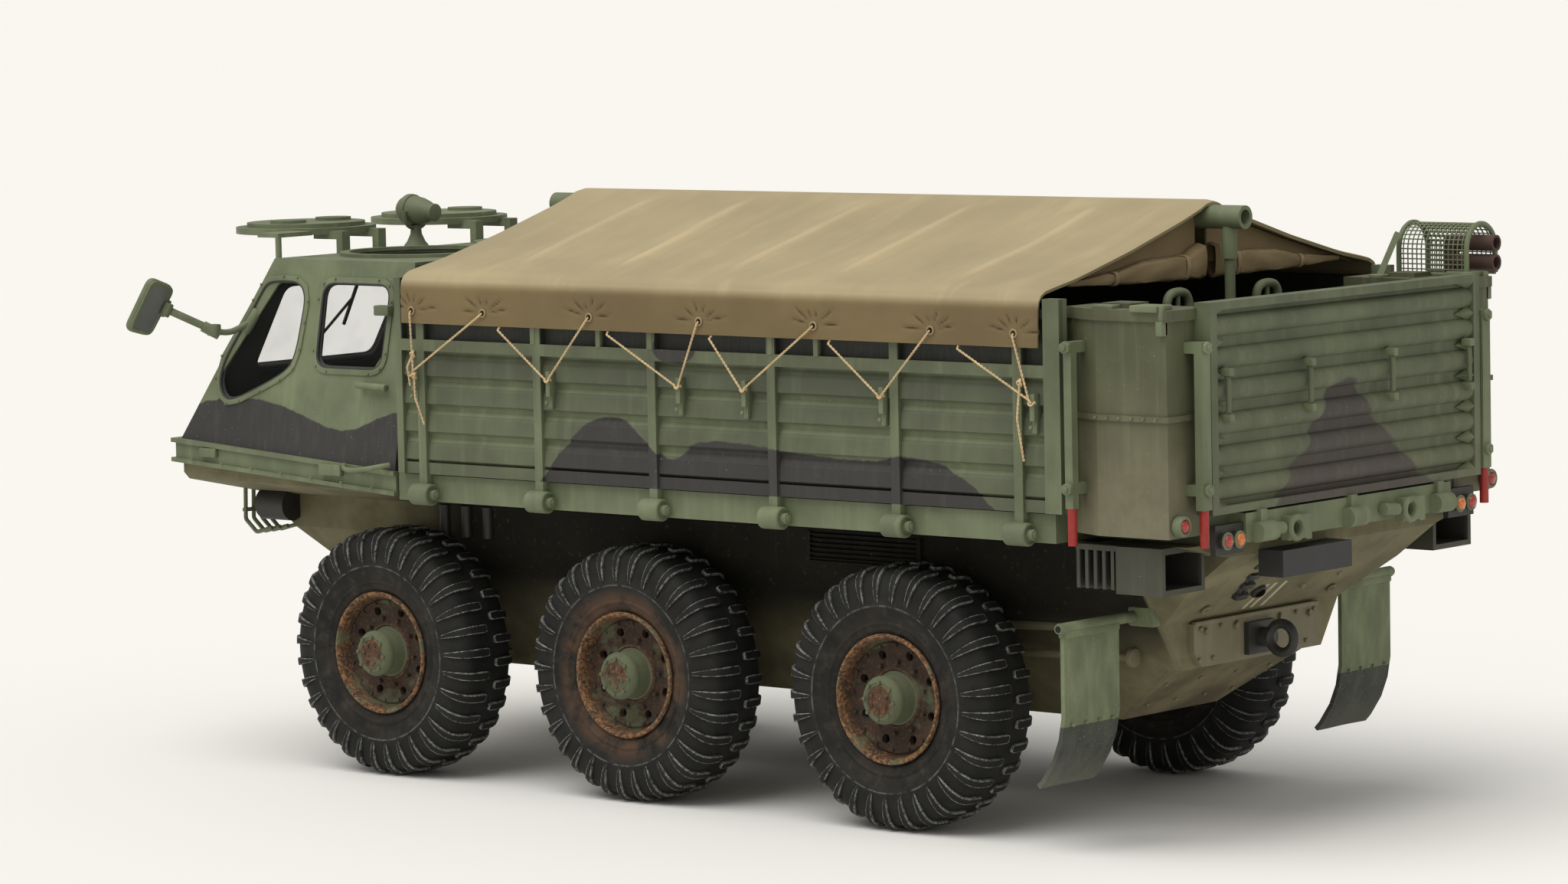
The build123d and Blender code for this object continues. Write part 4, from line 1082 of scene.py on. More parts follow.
def section_point(share):
    """A point and outward direction at a share of the half section's length."""
    lengths = [0.0]
    for (y0, z0), (y1, z1) in zip(TILT_SECTION, TILT_SECTION[1:]):
        lengths.append(lengths[-1] + math.hypot(y1 - y0, z1 - z0))
    goal = share * lengths[-1]
    for i in range(len(lengths) - 1):
        if goal <= lengths[i + 1] or i == len(lengths) - 2:
            t = (goal - lengths[i]) / (lengths[i + 1] - lengths[i])
            (y0, z0), (y1, z1) = TILT_SECTION[i : i + 2]
            y, z = y0 + (y1 - y0) * t, z0 + (z1 - z0) * t
            run = math.hypot(y1 - y0, z1 - z0)
            return y, z, -(z1 - z0) / run, (y1 - y0) / run


def bell(value, width):
    return math.exp(-((value / width) ** 2))


# The pulled creases round an eyelet: (degrees from straight up, how far out they reach), and their start
CREASE_START = 0.95
PULLS = ((-83, 5.2), (-58, 4.3), (-18, 3.0), (22, 2.9), (55, 4.2), (82, 5.0))


def crease_depth(x, z):
    """How deep the pulled creases above the eyelets lie at a point of the hem band."""
    depth = 0.0
    for k, eye in enumerate(EYELETS):
        dx, dz = x - eye, z - EYELET_Z
        reach = math.hypot(dx, dz)
        if not CREASE_START < reach < 6:
            continue
        angle = math.degrees(math.atan2(dx, dz))
        for j, (middle, longest) in enumerate(PULLS):
            middle += 5 * math.sin(3 * k + j)
            longest -= 0.5 * ((2 * j + k) % 3)
            off = math.radians(angle - middle) * reach
            if CREASE_START < reach < longest:
                out = (reach - CREASE_START) / (longest - CREASE_START)
                swell = math.sin(math.pi * out) ** 0.6
                depth = max(depth, bell(off, 0.17) * swell)
    return depth


class TRUCK_OT_tilt(bpy.types.Operator):
    """Models the canvas tilt over the ridge tube, with its folds, creases and eyelets"""

    bl_idname = "truck.tilt"
    bl_label = "Tilt"

    def execute(self, context):
        sizes = context.scene.truck_sizes
        rng = random.Random(7)
        folds = [(18.0, 1.0), (0.0, 0.95), (-20.6, 1.0), (-39.2, 0.85), (-59.7, 0.9), (29.0, 0.35)]
        minor = [
            (rng.uniform(TILT_REAR, TILT_FRONT), rng.uniform(0.1, 0.28), rng.uniform(-3, 3))
            for _ in range(16)
        ]

        crests = []

        def shape(u, v):
            x = TILT_FRONT + (TILT_REAR - TILT_FRONT) * u
            side = 1 if v >= 0.5 else -1
            share = abs(2 * v - 1)
            # the hem band and shoulder take more of the rows than the slope does
            share = share / 0.4 * 0.77 if share < 0.4 else 0.77 + (share - 0.4) / 0.6 * 0.23
            y, z, out_y, out_z = section_point(min(share, 1.0))
            slope = 0.0
            if z > SHOULDER_Z:
                slope = max(0.0, min(1.0, y / 7)) * max(0.0, min(1.0, (37.2 - y) / 7))
            lift = 0.0
            for fold, size in folds:
                line = fold + 0.7 * math.sin(y * 0.13 + fold) + 0.8 * side - 0.03 * (y - 18)
                lift += size * (bell(x - line, 1.7) * 0.6 + bell(x - line - 3.6, 3.8) * 0.3)
            for fold, size, lean in minor:
                lift += size * bell(x - fold - lean * math.sin(y * 0.09), 1.2)
            lift -= 0.33
            push = sizes.fold_depth * lift * slope
            crests.append(lift * slope)
            if z < SHOULDER_Z:
                wave = math.sin((x - EYELETS[1]) / 19.6 * math.tau)
                push += 0.10 * wave * max(0.0, (70 - z) / 6)
                push -= 0.26 * crease_depth(x, z)
            ends = min(x - TILT_REAR, TILT_FRONT - x)
            push -= 0.25 * max(0.0, 1 - ends / 1.2) ** 2
            return x, side * (y + out_y * push), z + out_z * push

        tilt = draped(378, 124, shape)
        layer = tilt.data.attributes.new("crest", "FLOAT", "POINT")
        for i, height in enumerate(crests):
            layer.data[i].value = height
        # the crease depth, kept for the canvas's painted shade in the creases
        layer = tilt.data.attributes.new("crease", "FLOAT", "POINT")
        for i, vertex in enumerate(tilt.data.vertices):
            x, z = (vertex.co.x - MIDDLE_X) / MM, vertex.co.z / MM
            mark = crease_depth(x, z) if abs(vertex.co.y) > 37 * MM and z < 70.5 else 0.0
            layer.data[i].value = mark
        self.cut_eyelets(tilt)
        if max(tilt.data.polygons, key=lambda p: p.center.z).normal.z < 0:
            tilt.data.flip_normals()
        applied(tilt, "SOLIDIFY", thickness=0.45 * MM, offset=-1, use_even_offset=False)
        smoothed(tilt, CLOTH_SMOOTH)
        finish(tilt, "canvas_tilt", "canvas", ["tilt"])

        eyes, holes = [], []
        for side in (-1, 1):
            for x in EYELETS:
                eyes.append(ring((x, side * 38.0, EYELET_Z), 0.5, 0.14, (0, side, 0), 20, 8))
                holes.append(bar((x, side * 37.2, EYELET_Z), (x, side * 37.5, EYELET_Z), 0.5, 16))
        dressed(eyes, "tilt_eyelets", "strap")
        dressed(holes, "eyelet_shadows", "hole", smooth=None)
        return {"FINISHED"}

    def cut_eyelets(self, tilt):
        """Opens a hole in the cloth behind each eyelet."""
        choose(tilt)
        bpy.ops.object.mode_set(mode="EDIT")
        bpy.ops.mesh.select_mode(type="FACE")
        bpy.ops.mesh.select_all(action="DESELECT")
        bpy.ops.object.mode_set(mode="OBJECT")
        for polygon in tilt.data.polygons:
            x, z = (polygon.center.x - MIDDLE_X) / MM, polygon.center.z / MM
            near = min(math.hypot(x - eye, z - EYELET_Z) for eye in EYELETS)
            polygon.select = near < 0.4 and abs(polygon.center.y) > 36 * MM
        bpy.ops.object.mode_set(mode="EDIT")
        bpy.ops.mesh.delete(type="FACE")
        bpy.ops.mesh.select_mode(type="VERT")
        bpy.ops.object.mode_set(mode="OBJECT")


class TRUCK_OT_curtains(bpy.types.Operator):
    """Models the rear gable flaps, rolled up and strapped"""

    bl_idname = "truck.curtains"
    bl_label = "Rear curtains"

    def execute(self, context):
        # (left of centre, middle height, half height, half depth) along a rolled flap
        roll = (
            (30.0, 71.95, 0.16, 0.12), (29.7, 71.95, 0.36, 0.35), (26.0, 72.0, 0.46, 0.5),
            (21.6, 72.1, 0.8, 0.8), (20.9, 72.1, 0.66, 0.66), (20.0, 72.12, 0.68, 0.66),
            (19.2, 72.2, 0.95, 0.9), (15.0, 72.5, 1.35, 1.15), (10.5, 72.65, 1.55, 1.3),
            (7.0, 72.65, 1.55, 1.3), (6.1, 72.65, 1.35, 1.1), (5.2, 72.67, 1.35, 1.1),
            (4.4, 72.8, 1.65, 1.3), (2.6, 73.1, 2.1, 1.3), (1.5, 73.3, 2.35, 1.2), (1.15, 73.3, 2.0, 0.6),
        )
        x0 = TILT_REAR + 1.1
        for side, hand in ((1, "left"), (-1, "right")):

            def rolled(u, v, side=side):
                y, z, high, deep = between(roll, u)
                angle = math.tau * v
                crease = 1 + 0.05 * math.sin(3 * angle + y * 0.7) + 0.03 * math.sin(y * 2.3)
                box = 1 / max(abs(math.cos(angle)), abs(math.sin(angle))) ** 0.55
                return (
                    x0 - deep * math.cos(angle) * crease * box,
                    side * y,
                    z + high * math.sin(angle) * crease * box,
                )

            flap = outward(draped(90, 32, rolled))

            def gable(u, v, side=side):
                y = 1.3 + 33.5 * u
                top = 80.1 - (y - 1.3) * 0.262 - 0.5 * math.sin(math.pi * min(1, y / 36))
                low = 73.0 - 0.9 * u
                drop = top + (min(low, top - 0.2) - top) * v
                wave = 0.12 * math.sin(y * 0.8) * math.sin(math.pi * v)
                return x0 + 1.0 + wave, side * y, drop

            sheet = draped(60, 14, gable)
            applied(sheet, "SOLIDIFY", thickness=0.3 * MM, offset=0)
            replaced = ["rear_curtains"] if side > 0 else []
            dressed([flap, sheet], f"rolled_flap_{hand}", "curtain", replaced, CLOTH_SMOOTH)
            bands = []
            for y, z, high, deep in ((20.45, 72.1, 0.82, 0.82), (5.6, 72.67, 1.55, 1.3)):
                loop = []
                for k in range(20):
                    angle = math.tau * k / 20
                    box = 1 / max(abs(math.cos(angle)), abs(math.sin(angle))) ** 0.5
                    out, rise = deep * math.cos(angle) * box, high * math.sin(angle) * box
                    loop.append((x0 - out, side * y, z + rise))
                for offset in (-0.16, 0.16):
                    bands.append(wire([(a, b + offset, c) for a, b, c in loop], 0.16, True))
            dressed(bands, f"flap_straps_{hand}", "strap")
        return {"FINISHED"}


def twine(points, radius, pitch=1.1):
    """Two strands twisted together along points in millimetres."""
    line = []
    for a, b in zip(points, points[1:]):
        a, b = Vector(a), Vector(b)
        count = max(2, int((b - a).length / 0.16))
        line += [a.lerp(b, i / count) for i in range(count)]
    line.append(Vector(points[-1]))
    strands = []
    for phase in (0, math.pi):
        path, done = [], 0.0
        for i, point in enumerate(line):
            run = (line[min(i + 1, len(line) - 1)] - line[max(i - 1, 0)]).normalized()
            side = run.cross(Vector((0, 1, 0.2))).normalized()
            over = run.cross(side)
            turn = done / pitch * math.tau + phase
            path.append(point + (side * math.cos(turn) + over * math.sin(turn)) * radius * 0.45)
            if i + 1 < len(line):
                done += (line[i + 1] - point).length
        strands.append(wire(path, radius * 0.62, sides=6))
    return strands


class TRUCK_OT_lashing(bpy.types.Operator):
    """Models the taut lashing between the tilt's eyelets and the cleats"""

    bl_idname = "truck.lashing"
    bl_label = "Lashing"

    def execute(self, context):
        radius = context.scene.truck_sizes.rope_radius
        hem, face = 64.4, 38.15
        # (upper station, upper height, cleat) of each run
        runs = [
            (EYELETS[0], EYELET_Z, CLEATS[0]), (EYELETS[1], EYELET_Z, CLEATS[0]),
            (HEM_STARTS[0], hem, CLEATS[1]), (EYELETS[2], EYELET_Z, CLEATS[1]),
            (HEM_STARTS[1], hem, CLEATS[2]), (EYELETS[3], EYELET_Z, CLEATS[2]),
            (HEM_STARTS[2], hem, CLEATS[3]), (EYELETS[4], EYELET_Z, CLEATS[3]),
            (HEM_STARTS[3], hem, CLEATS[4]), (EYELETS[5], EYELET_Z, CLEATS[4]),
            (HEM_STARTS[4], hem, CLEATS[5]), (EYELETS[6], EYELET_Z, CLEATS[5]),
        ]
        strands = []
        for top, height, foot in runs:
            low = 57.6 if foot not in (CLEATS[0], CLEATS[5]) else 57.9
            start = (top, 37.45 if height < 65 else 38.1, height)
            over = (top + (foot - top) * 0.04, 38.35, height - (height - low) * 0.06)
            lean = 0.3 if foot < top else -0.3
            end = (foot, face - 0.1, low - 0.45)
            strands += twine([start, over, (foot + lean, face, low), end], radius)
        for foot in CLEATS:
            loop = [
                (foot + 0.5 * math.cos(a), face - 0.25 + 0.35 * math.sin(a), 57.4 + 0.25 * math.cos(a * 2))
                for a in (math.tau * i / 12 for i in range(12))
            ]
            strands.append(wire(loop, radius * 0.8, True))
        # (station, height, end station, end height) of each tied tail
        tails = ((34.0, 57.2, 32.4, 50.5), (-72.0, 60.0, -72.4, 50.1), (34.2, 60.2, 34.9, 55.8))
        for x0, z0, x1, z1 in tails:
            middle = ((x0 + x1) / 2 + 0.5, 38.45, (z0 + z1) / 2 + 0.4)
            strands += twine([(x0, 38.2, z0), middle, (x1, 38.1, z1)], radius)
            for spin in (0.0, 1.2, 2.3):
                knot = [
                    (
                        x0 + 0.34 * math.cos(a + spin),
                        38.25 + 0.26 * math.sin(a),
                        z0 + 0.34 * math.sin(a + spin) + 0.1 * spin - 0.1,
                    )
                    for a in (math.tau * i / 10 for i in range(10))
                ]
                strands.append(wire(knot, radius * 0.75, True))
        left = smoothed(joined(strands, "rope"), math.radians(80))
        right = mirror_copy(left, "rope_right")
        rope = joined([left, right], "rope")
        finish(rope, "tilt_lashing", "rope", ["lashing"])
        return {"FINISHED"}


class TRUCK_OT_guard(bpy.types.Operator):
    """Models the wire cage over the exhaust and its strut"""

    bl_idname = "truck.guard"
    bl_label = "Exhaust guard"

    def execute(self, context):
        y_mid, half, foot, top = -37.4, 3.45, 69.7, 76.4
        x0, x1 = -91.4, -80.6

        def arch(share):
            """A point (across, height) along the arch, from the inner foot over the top."""
            rise, crown = top - half - foot, math.pi * half
            goal = share * (2 * rise + crown)
            if goal < rise:
                return y_mid + half, foot + goal
            if goal > rise + crown:
                return y_mid - half, foot + (2 * rise + crown - goal)
            angle = (goal - rise) / half
            return y_mid + half * math.cos(angle), top - half + half * math.sin(angle)

        wires = []
        around, length = 26, 15
        for i in range(length + 1):
            x = x0 + (x1 - x0) * i / length
            edge = i in (0, length)
            line = [(x, *arch(k / 28)) for k in range(29)]
            wires.append(wire(line, 0.36 if edge else 0.1, sides=10 if edge else 6))
        for i in range(around + 1):
            y, z = arch(i / around)
            wires.append(wire([(x0, y, z), (x1, y, z)], 0.3 if i in (0, around) else 0.1, sides=6))
        strut = [
            bar((-80.9, -28.6, 69.4), (-80.9, -33.2, 75.1), 0.55, 4),
            block((-82.0, -29.6, 69.3), (-80.0, -27.6, 69.9)),
        ]
        dressed(wires + strut, "wire_guard", "green", ["exhaust_guard"], CLOTH_SMOOTH)
        return {"FINISHED"}


def skin_matrix():
    """Lays a flat plate on the cab's sloping side: across is -X, up is up the slope from its foot."""
    lean = math.atan(CAB_LEAN)
    across = Vector((-1, 0, 0))
    up = Vector((0, -math.sin(lean), math.cos(lean)))
    out = Vector((0, math.cos(lean), math.sin(lean)))
    turn = Matrix((across, up, out)).transposed().to_4x4()
    return Matrix.Translation(at(0, CAB_HALF, CAB_FOOT)) @ turn


def on_skin(x, z, out=0.0):
    """A point on the cab's side, from its station and height."""
    return (x, CAB_HALF - (z - CAB_FOOT) * CAB_LEAN + out, z)


QUARTER_PANE = [
    (68.4, 69.0), (65.5, 69.2), (62.9, 69.1), (61.4, 68.2), (60.9, 66.4), (61.2, 63.5), (61.6, 59.8),
    (62.5, 57.3), (64.7, 55.8), (68.5, 54.1), (72.4, 52.5), (74.6, 52.1), (76.0, 53.0), (76.7, 55.0),
    (75.9, 58.0), (73.3, 62.0), (70.7, 66.0), (69.4, 68.2),
]
SIDE_PANE = soften([(57.5, 69.1), (44.3, 69.1), (44.7, 57.3), (57.6, 57.3)], 2.3)


class TRUCK_OT_cab_trim(bpy.types.Operator):
    """Adds the window frames, seals, bolts, handles and rail fittings of the cab"""

    bl_idname = "truck.cab_trim"
    bl_label = "Cab trim"

    def execute(self, context):
        frames, seals, heads = [], [], []
        lean = math.cos(math.atan(CAB_LEAN))
        for pane, edge, spacing in ((SIDE_PANE, 0.85, 2.1), (QUARTER_PANE, 0.75, 2.3)):
            flat = [(-x, (z - CAB_FOOT) / lean) for x, z in pane]
            outer = grown(flat, edge)
            raised = Matrix.Translation((0, 0.10 * MM, 0)) @ skin_matrix()
            frames.append(plate([outer, flat], 0.24, 0.05, raised))
            seals.append(wire([on_skin(x, z, 0.05) for x, z in pane], 0.2, True, "NURBS", 10))
            seals.append(wire([on_skin(x, z, -0.5) for x, z in pane], 0.3, True, "NURBS", 10))
            ringed = grown(pane, 0.62)
            run, last = 0.0, ringed[-1]
            for x, z in ringed:
                run += math.hypot(x - last[0], z - last[1])
                last = (x, z)
                if run > spacing:
                    heads.append(on_skin(x, z, 0.2))
                    run = 0.0
        frames.append(studs(heads, (0, 1, 0.18), 0.17, 0.28, sides=8))
        # door grab handle, hinge lug, and the rail's grab and plates
        rail_grab = [
            (49.6, 36.6, 44.0), (49.0, 37.7, 43.7), (47.0, 38.0, 43.4), (43.4, 38.0, 43.9),
            (41.4, 37.5, 44.3), (40.8, 36.6, 44.4),
        ]
        frames += [
            bar(on_skin(48.2, 55.2, 1.1), on_skin(42.4, 55.0, 1.1), 0.5, 14, 0.15),
            bar(on_skin(47.6, 55.1, -0.2), on_skin(47.6, 55.2, 1.1), 0.42, 12),
            bar(on_skin(43.4, 55.0, -0.2), on_skin(43.4, 55.0, 1.1), 0.42, 12),
            wire(rail_grab, 0.36, kind="NURBS", sides=10),
            block((50.2, 36.3, 42.4), (54.4, 37.0, 44.0), 0.1),
            block((75.4, 36.3, 43.9), (78.6, 36.9, 45.2), 0.1),
            block(on_skin(46.2, 64.9, -0.3), on_skin(43.4, 66.3, 1.4), 0.15),
        ]
        nose = []
        for x in (44.0, 50.0, 56.0, 62.0, 68.0, 74.0, 80.0):
            nose.append((x, 36.9, 40.9 + (x - 40) * 0.065))
        frames.append(studs(nose, (0, 1, 0), 0.24, 0.25))
        dressed(frames, "cab_fittings", "green", (), TRIM_SMOOTH, True)
        dressed(seals, "window_seals", "seal", (), CLOTH_SMOOTH, True)

        # seals of the two windscreens, on the sloping front
        slope = math.atan2(72.3 - 46.3, 83.4 - 68.0)
        along = Vector((-math.cos(slope), 0, math.sin(slope)))
        out = Vector((math.sin(slope), 0, math.cos(slope)))
        screens = []
        for side in (-1, 1):
            pane = soften([(-12.7, -7.2), (12.7, -7.2), (12.7, 7.2), (-12.7, 7.2)], 2.0)
            centre = Vector((73.9, 14.6 * side, 62.4))
            for lift, radius in ((0.15, 0.42), (-0.4, 0.45)):
                line = [centre + Vector((0, a, 0)) + along * b + out * lift for a, b in pane]
                screens.append(wire(line, radius, True, "NURBS", 10))
            foot = centre + along * -9.2 + Vector((0, 3.0 * side, 0)) + out * 0.5
            tip = centre + along * 3.0 + Vector((0, -4.0 * side, 0)) + out * 0.55
            screens.append(bar(foot, tip, 0.22, 8))
            blade = [tip + along * k + Vector((0, 0.8 * side * k, 0)) * 0.1 for k in (-4.6, 4.0)]
            screens.append(bar(*blade, 0.28, 6))
            screens.append(bar(foot - out * 0.5, foot + out * 0.3, 0.55, 14, 0.1))
        dressed(screens, "windscreen_seals", "seal", smooth=CLOTH_SMOOTH)
        return {"FINISHED"}


class TRUCK_OT_mirrors(bpy.types.Operator):
    """Models the two door mirrors on their cranked arms"""

    bl_idname = "truck.mirrors"
    bl_label = "Mirrors"

    def execute(self, context):
        down = Vector((0.36, 0.30, -0.88)).normalized()
        across = Vector((0.13, -0.954, -0.272))
        across = (across - down * across.dot(down)).normalized()
        face = down.cross(across).normalized()
        face = face if face.x < 0 else -face
        centre = Vector((78.6, 45.6, 65.9))
        turn = Matrix((across, face.cross(across), face)).transposed().to_4x4()
        place = Matrix.Translation(at(*centre)) @ turn
        outline = soften([(-2.3, -3.9), (2.3, -3.7), (2.5, 3.7), (-2.5, 3.9)], 1.1)
        lens_line = grown(outline, -0.3)
        back = plate([outline], 0.9, 0.3, place @ Matrix.Translation((0, 0, -0.2 * MM)))
        rim = plate([outline, lens_line], 0.7, 0.15, place @ Matrix.Translation((0, 0, 0.15 * MM)))
        head = centre - face * 0.5
        held = head - across * -2.9 + down * -0.6
        clamp = turned_block(held, across, down, face, (1.5, 2.6, 1.4), 0.2)
        crank = [(73.2, 38.0, 62.2), (72.5, 36.6, 61.8), (71.9, 34.6, 62.4), (71.3, 32.6, 63.4)]
        arm = [
            back, rim, clamp,
            bar((78.0, 43.2, 65.6), (73.9, 38.9, 62.7), 0.55, 12, 0.1),
            bar((73.4, 38.2, 61.6), (73.4, 38.2, 63.2), 1.0, 16, 0.15),
            bar((72.9, 37.6, 61.7), (74.4, 39.4, 63.0), 0.8, 12, 0.1),
            wire(crank, 0.45, kind="NURBS", sides=10),
            bar((71.9, 33.6, 61.8), (70.8, 31.9, 64.9), 0.75, 12, 0.15),
            bar((77.3, 43.0, 66.4), (77.9, 43.6, 64.6), 0.7, 12, 0.15),
        ]
        panes = [plate([grown(outline, -0.35)], 0.16, 0.03, place @ Matrix.Translation((0, 0, 0.34 * MM)))]
        green = smoothed(joined(arm, "arm"), TRIM_SMOOTH)
        silver = joined(panes, "pane")
        for hand in ("left", "right"):
            body = green if hand == "left" else mirror_copy(green, "m")
            pane = silver if hand == "left" else mirror_copy(silver, "p")
            finish(body, f"mirror_arm_{hand}", "green", [f"mirror_{hand}"])
            finish(pane, f"mirror_face_{hand}", "mirror")
        return {"FINISHED"}


class TRUCK_OT_searchlight(bpy.types.Operator):
    """Models the searchlight on its flared foot"""

    bl_idname = "truck.searchlight"
    bl_label = "Searchlight"

    def execute(self, context):
        # (radius, forward of the middle)
        shell = turned(
            [
                (0.0, 3.5), (0.7, 3.4), (1.3, 3.1), (1.75, 2.6), (2.0, 2.1), (2.08, 1.7), (2.3, 1.65),
                (2.35, 1.2), (2.3, 0.75), (2.12, 0.7), (2.08, 0.0), (1.95, -1.0), (1.6, -2.2),
                (1.2, -3.1), (1.15, -3.3), (1.3, -3.35), (1.3, -3.7), (1.1, -3.8), (0.0, -3.8),
            ],
            40,
        )
        swing = Matrix.Rotation(-QUARTER_TURN, 4, "Z")
        tip = Matrix.Rotation(math.radians(-4), 4, "Y")
        shell.data.transform(Matrix.Translation(at(66.6, 3.1, 77.7)) @ tip @ swing)
        flare = [(0.0, 0.0), (1.75, 0.0), (1.8, 0.25), (1.35, 0.8), (0.85, 1.9), (0.75, 3.2), (0.0, 3.2)]
        foot = turned(flare, 32)
        upright = Matrix.Rotation(QUARTER_TURN, 4, "X")
        foot.data.transform(Matrix.Translation(at(66.9, 3.1, 72.4)) @ upright)
        parts = [shell, foot]
        parts.append(bar((66.9, 1.0, 77.7), (66.9, 5.2, 77.7), 0.45, 12, 0.1))
        yoke = ((0.7, 77.7), (0.8, 76.2), (2.0, 75.2), (4.2, 75.2), (5.4, 76.2), (5.5, 77.7))
        parts.append(wire([(66.9, y, z) for y, z in yoke], 0.35, kind="NURBS", sides=10))
        dressed(parts, "searchlight_body", "green", ["searchlight"])
        return {"FINISHED"}


class TRUCK_OT_bed_trim(bpy.types.Operator):
    """Adds the bed's hoops, hinge bolts, gussets, hasps and lamp lenses"""

    bl_idname = "truck.bed_trim"
    bl_label = "Bed trim"

    def execute(self, context):
        hoops = []
        for y in (-9.9, 9.9):
            leg = ((2.5, 43.4), (2.5, 67.6), (2.3, 69.0), (1.3, 69.8))
            line = [(-76.0, y - off, z) for off, z in leg] + [(-76.0, y + off, z) for off, z in leg[::-1]]
            hoops.append(wire(line, 0.6, kind="NURBS", sides=12))
            hoops.append(bar((-76.0, y, 43.4), (-76.0, y, 69.9), 0.35, 10))
        dressed(hoops, "bed_loops", "green", ["bed_hoops"], 0.9)

        parts = []
        for x in along_side(0.041, 0.229, 0.408, 0.589, 0.768, 0.941):
            parts.append(bar((x - 2.0, 37.2, 40.7), (x - 2.5, 37.2, 40.7), 0.75, 6, 0.08))
            parts.append(bar((x - 2.5, 37.2, 40.7), (x - 2.7, 37.2, 40.7), 0.42, 8, 0.05))
            for off in (-1.55, 1.55):
                parts.append(ring((x + off, 37.2, 40.7), 1.28, 0.22, (1, 0, 0), 24, 8))
        # short uprights in the slot above the middle rail
        uprights = (12.5, 0.5, -8.8, -29.9, -37.7)
        parts += [block((x - 0.4, 36.6, 62.1), (x + 0.4, 37.3, 68.6), 0.08) for x in uprights]
        cleats = [(x, 38.0, 54.4) for x in CLEATS]
        parts.append(studs(cleats, (0, 1, 0), 0.3, 0.35, sides=8))
        # locker: lid hasp, seam bolts and corner strips
        parts += [
            block((-92.6, 33.4, 69.3), (-88.4, 36.9, 70.15), 0.15),
            bar((-92.9, 36.2, 70.1), (-92.9, 36.2, 67.6), 0.42, 12, 0.1),
            block((-93.4, 35.6, 66.4), (-92.4, 36.9, 68.2), 0.12),
            block((-84.6, 33.2, 69.3), (-81.4, 35.4, 69.95), 0.12),
        ]
        seam = [(x, 36.5, 55.95) for x in (-82.6, -84.4, -86.3, -88.2, -90.1, -92.0)]
        parts.append(studs(seam, (0, 1, 0), 0.2, 0.26, sides=6))
        parts.append(studs([(-93.5, y, 55.95) for y in (28.8, 31.0, 33.2, 35.4)], (-1, 0, 0), 0.2, 0.2))
        for z in (46.9, 64.7):
            parts.append(bar((-79.5, 38.1, z), (-79.5, 38.8, z), 0.85, 6, 0.1))
            parts.append(bar((-79.5, 38.6, z), (-79.5, 39.1, z), 0.4, 10, 0.06))
            parts.append(bar((-96.0, 31.4, z), (-96.6, 31.4, z), 0.85, 6, 0.1))
            parts.append(bar((-96.4, 31.4, z), (-96.8, 31.4, z), 0.4, 10, 0.06))
        # triangular gussets at the ends of the gate's ribs
        pitch = (70.2 - 43.6 - 2) / 6
        for i in range(7):
            z = 44.6 + i * pitch
            parts.append(bar((-95.0, 28.6, z), (-94.9, 25.8, z), 0.95, 4, 0, 0.05))
        for z in (60.9, 55.1):
            parts += [block((-96.9, y - 0.5, z), (-95.3, y + 0.5, z + 1.0), 0.15) for y in (27.0, 9.2)]
        dressed(parts, "bed_fittings", "green", (), TRIM_SMOOTH, True)

        # lamps on the gate's beam and the lockers
        rings, reds, oranges = [], [], []
        astern = Matrix.Rotation(QUARTER_TURN, 4, "Z")
        for y, group in ((27.4, reds), (24.8, oranges)):
            dome = turned([(0.0, 0.0), (0.82, 0.0), (0.86, 0.25), (0.7, 0.5), (0.4, 0.62), (0.0, 0.66)], 24)
            dome.data.transform(Matrix.Translation(at(-96.05, y, 40.2)) @ astern)
            group.append(dome)
            rings.append(ring((-96.15, y, 40.2), 0.95, 0.2, (1, 0, 0), 24, 8))
        marker = turned([(0.0, 0.0), (0.85, 0.0), (0.88, 0.2), (0.7, 0.55), (0.35, 0.72), (0.0, 0.75)], 24)
        marker.data.transform(Matrix.Translation(at(-94.4, 34.4, 42.6)) @ astern)
        reds.append(marker)
        rings.append(bar((-93.5, 34.4, 42.6), (-94.6, 34.4, 42.6), 1.3, 24, 0.15))
        rings.append(ring((-94.65, 34.4, 42.6), 1.08, 0.24, (1, 0, 0), 24, 8))
        dressed(rings, "lamp_rims", "green", ["marker_lamps"], mirrored=True)
        dressed(reds, "red_lenses", "red_lens", (), 1.0, True)
        dressed(oranges, "orange_lenses", "orange_lens", (), 1.0, True)
        return {"FINISHED"}


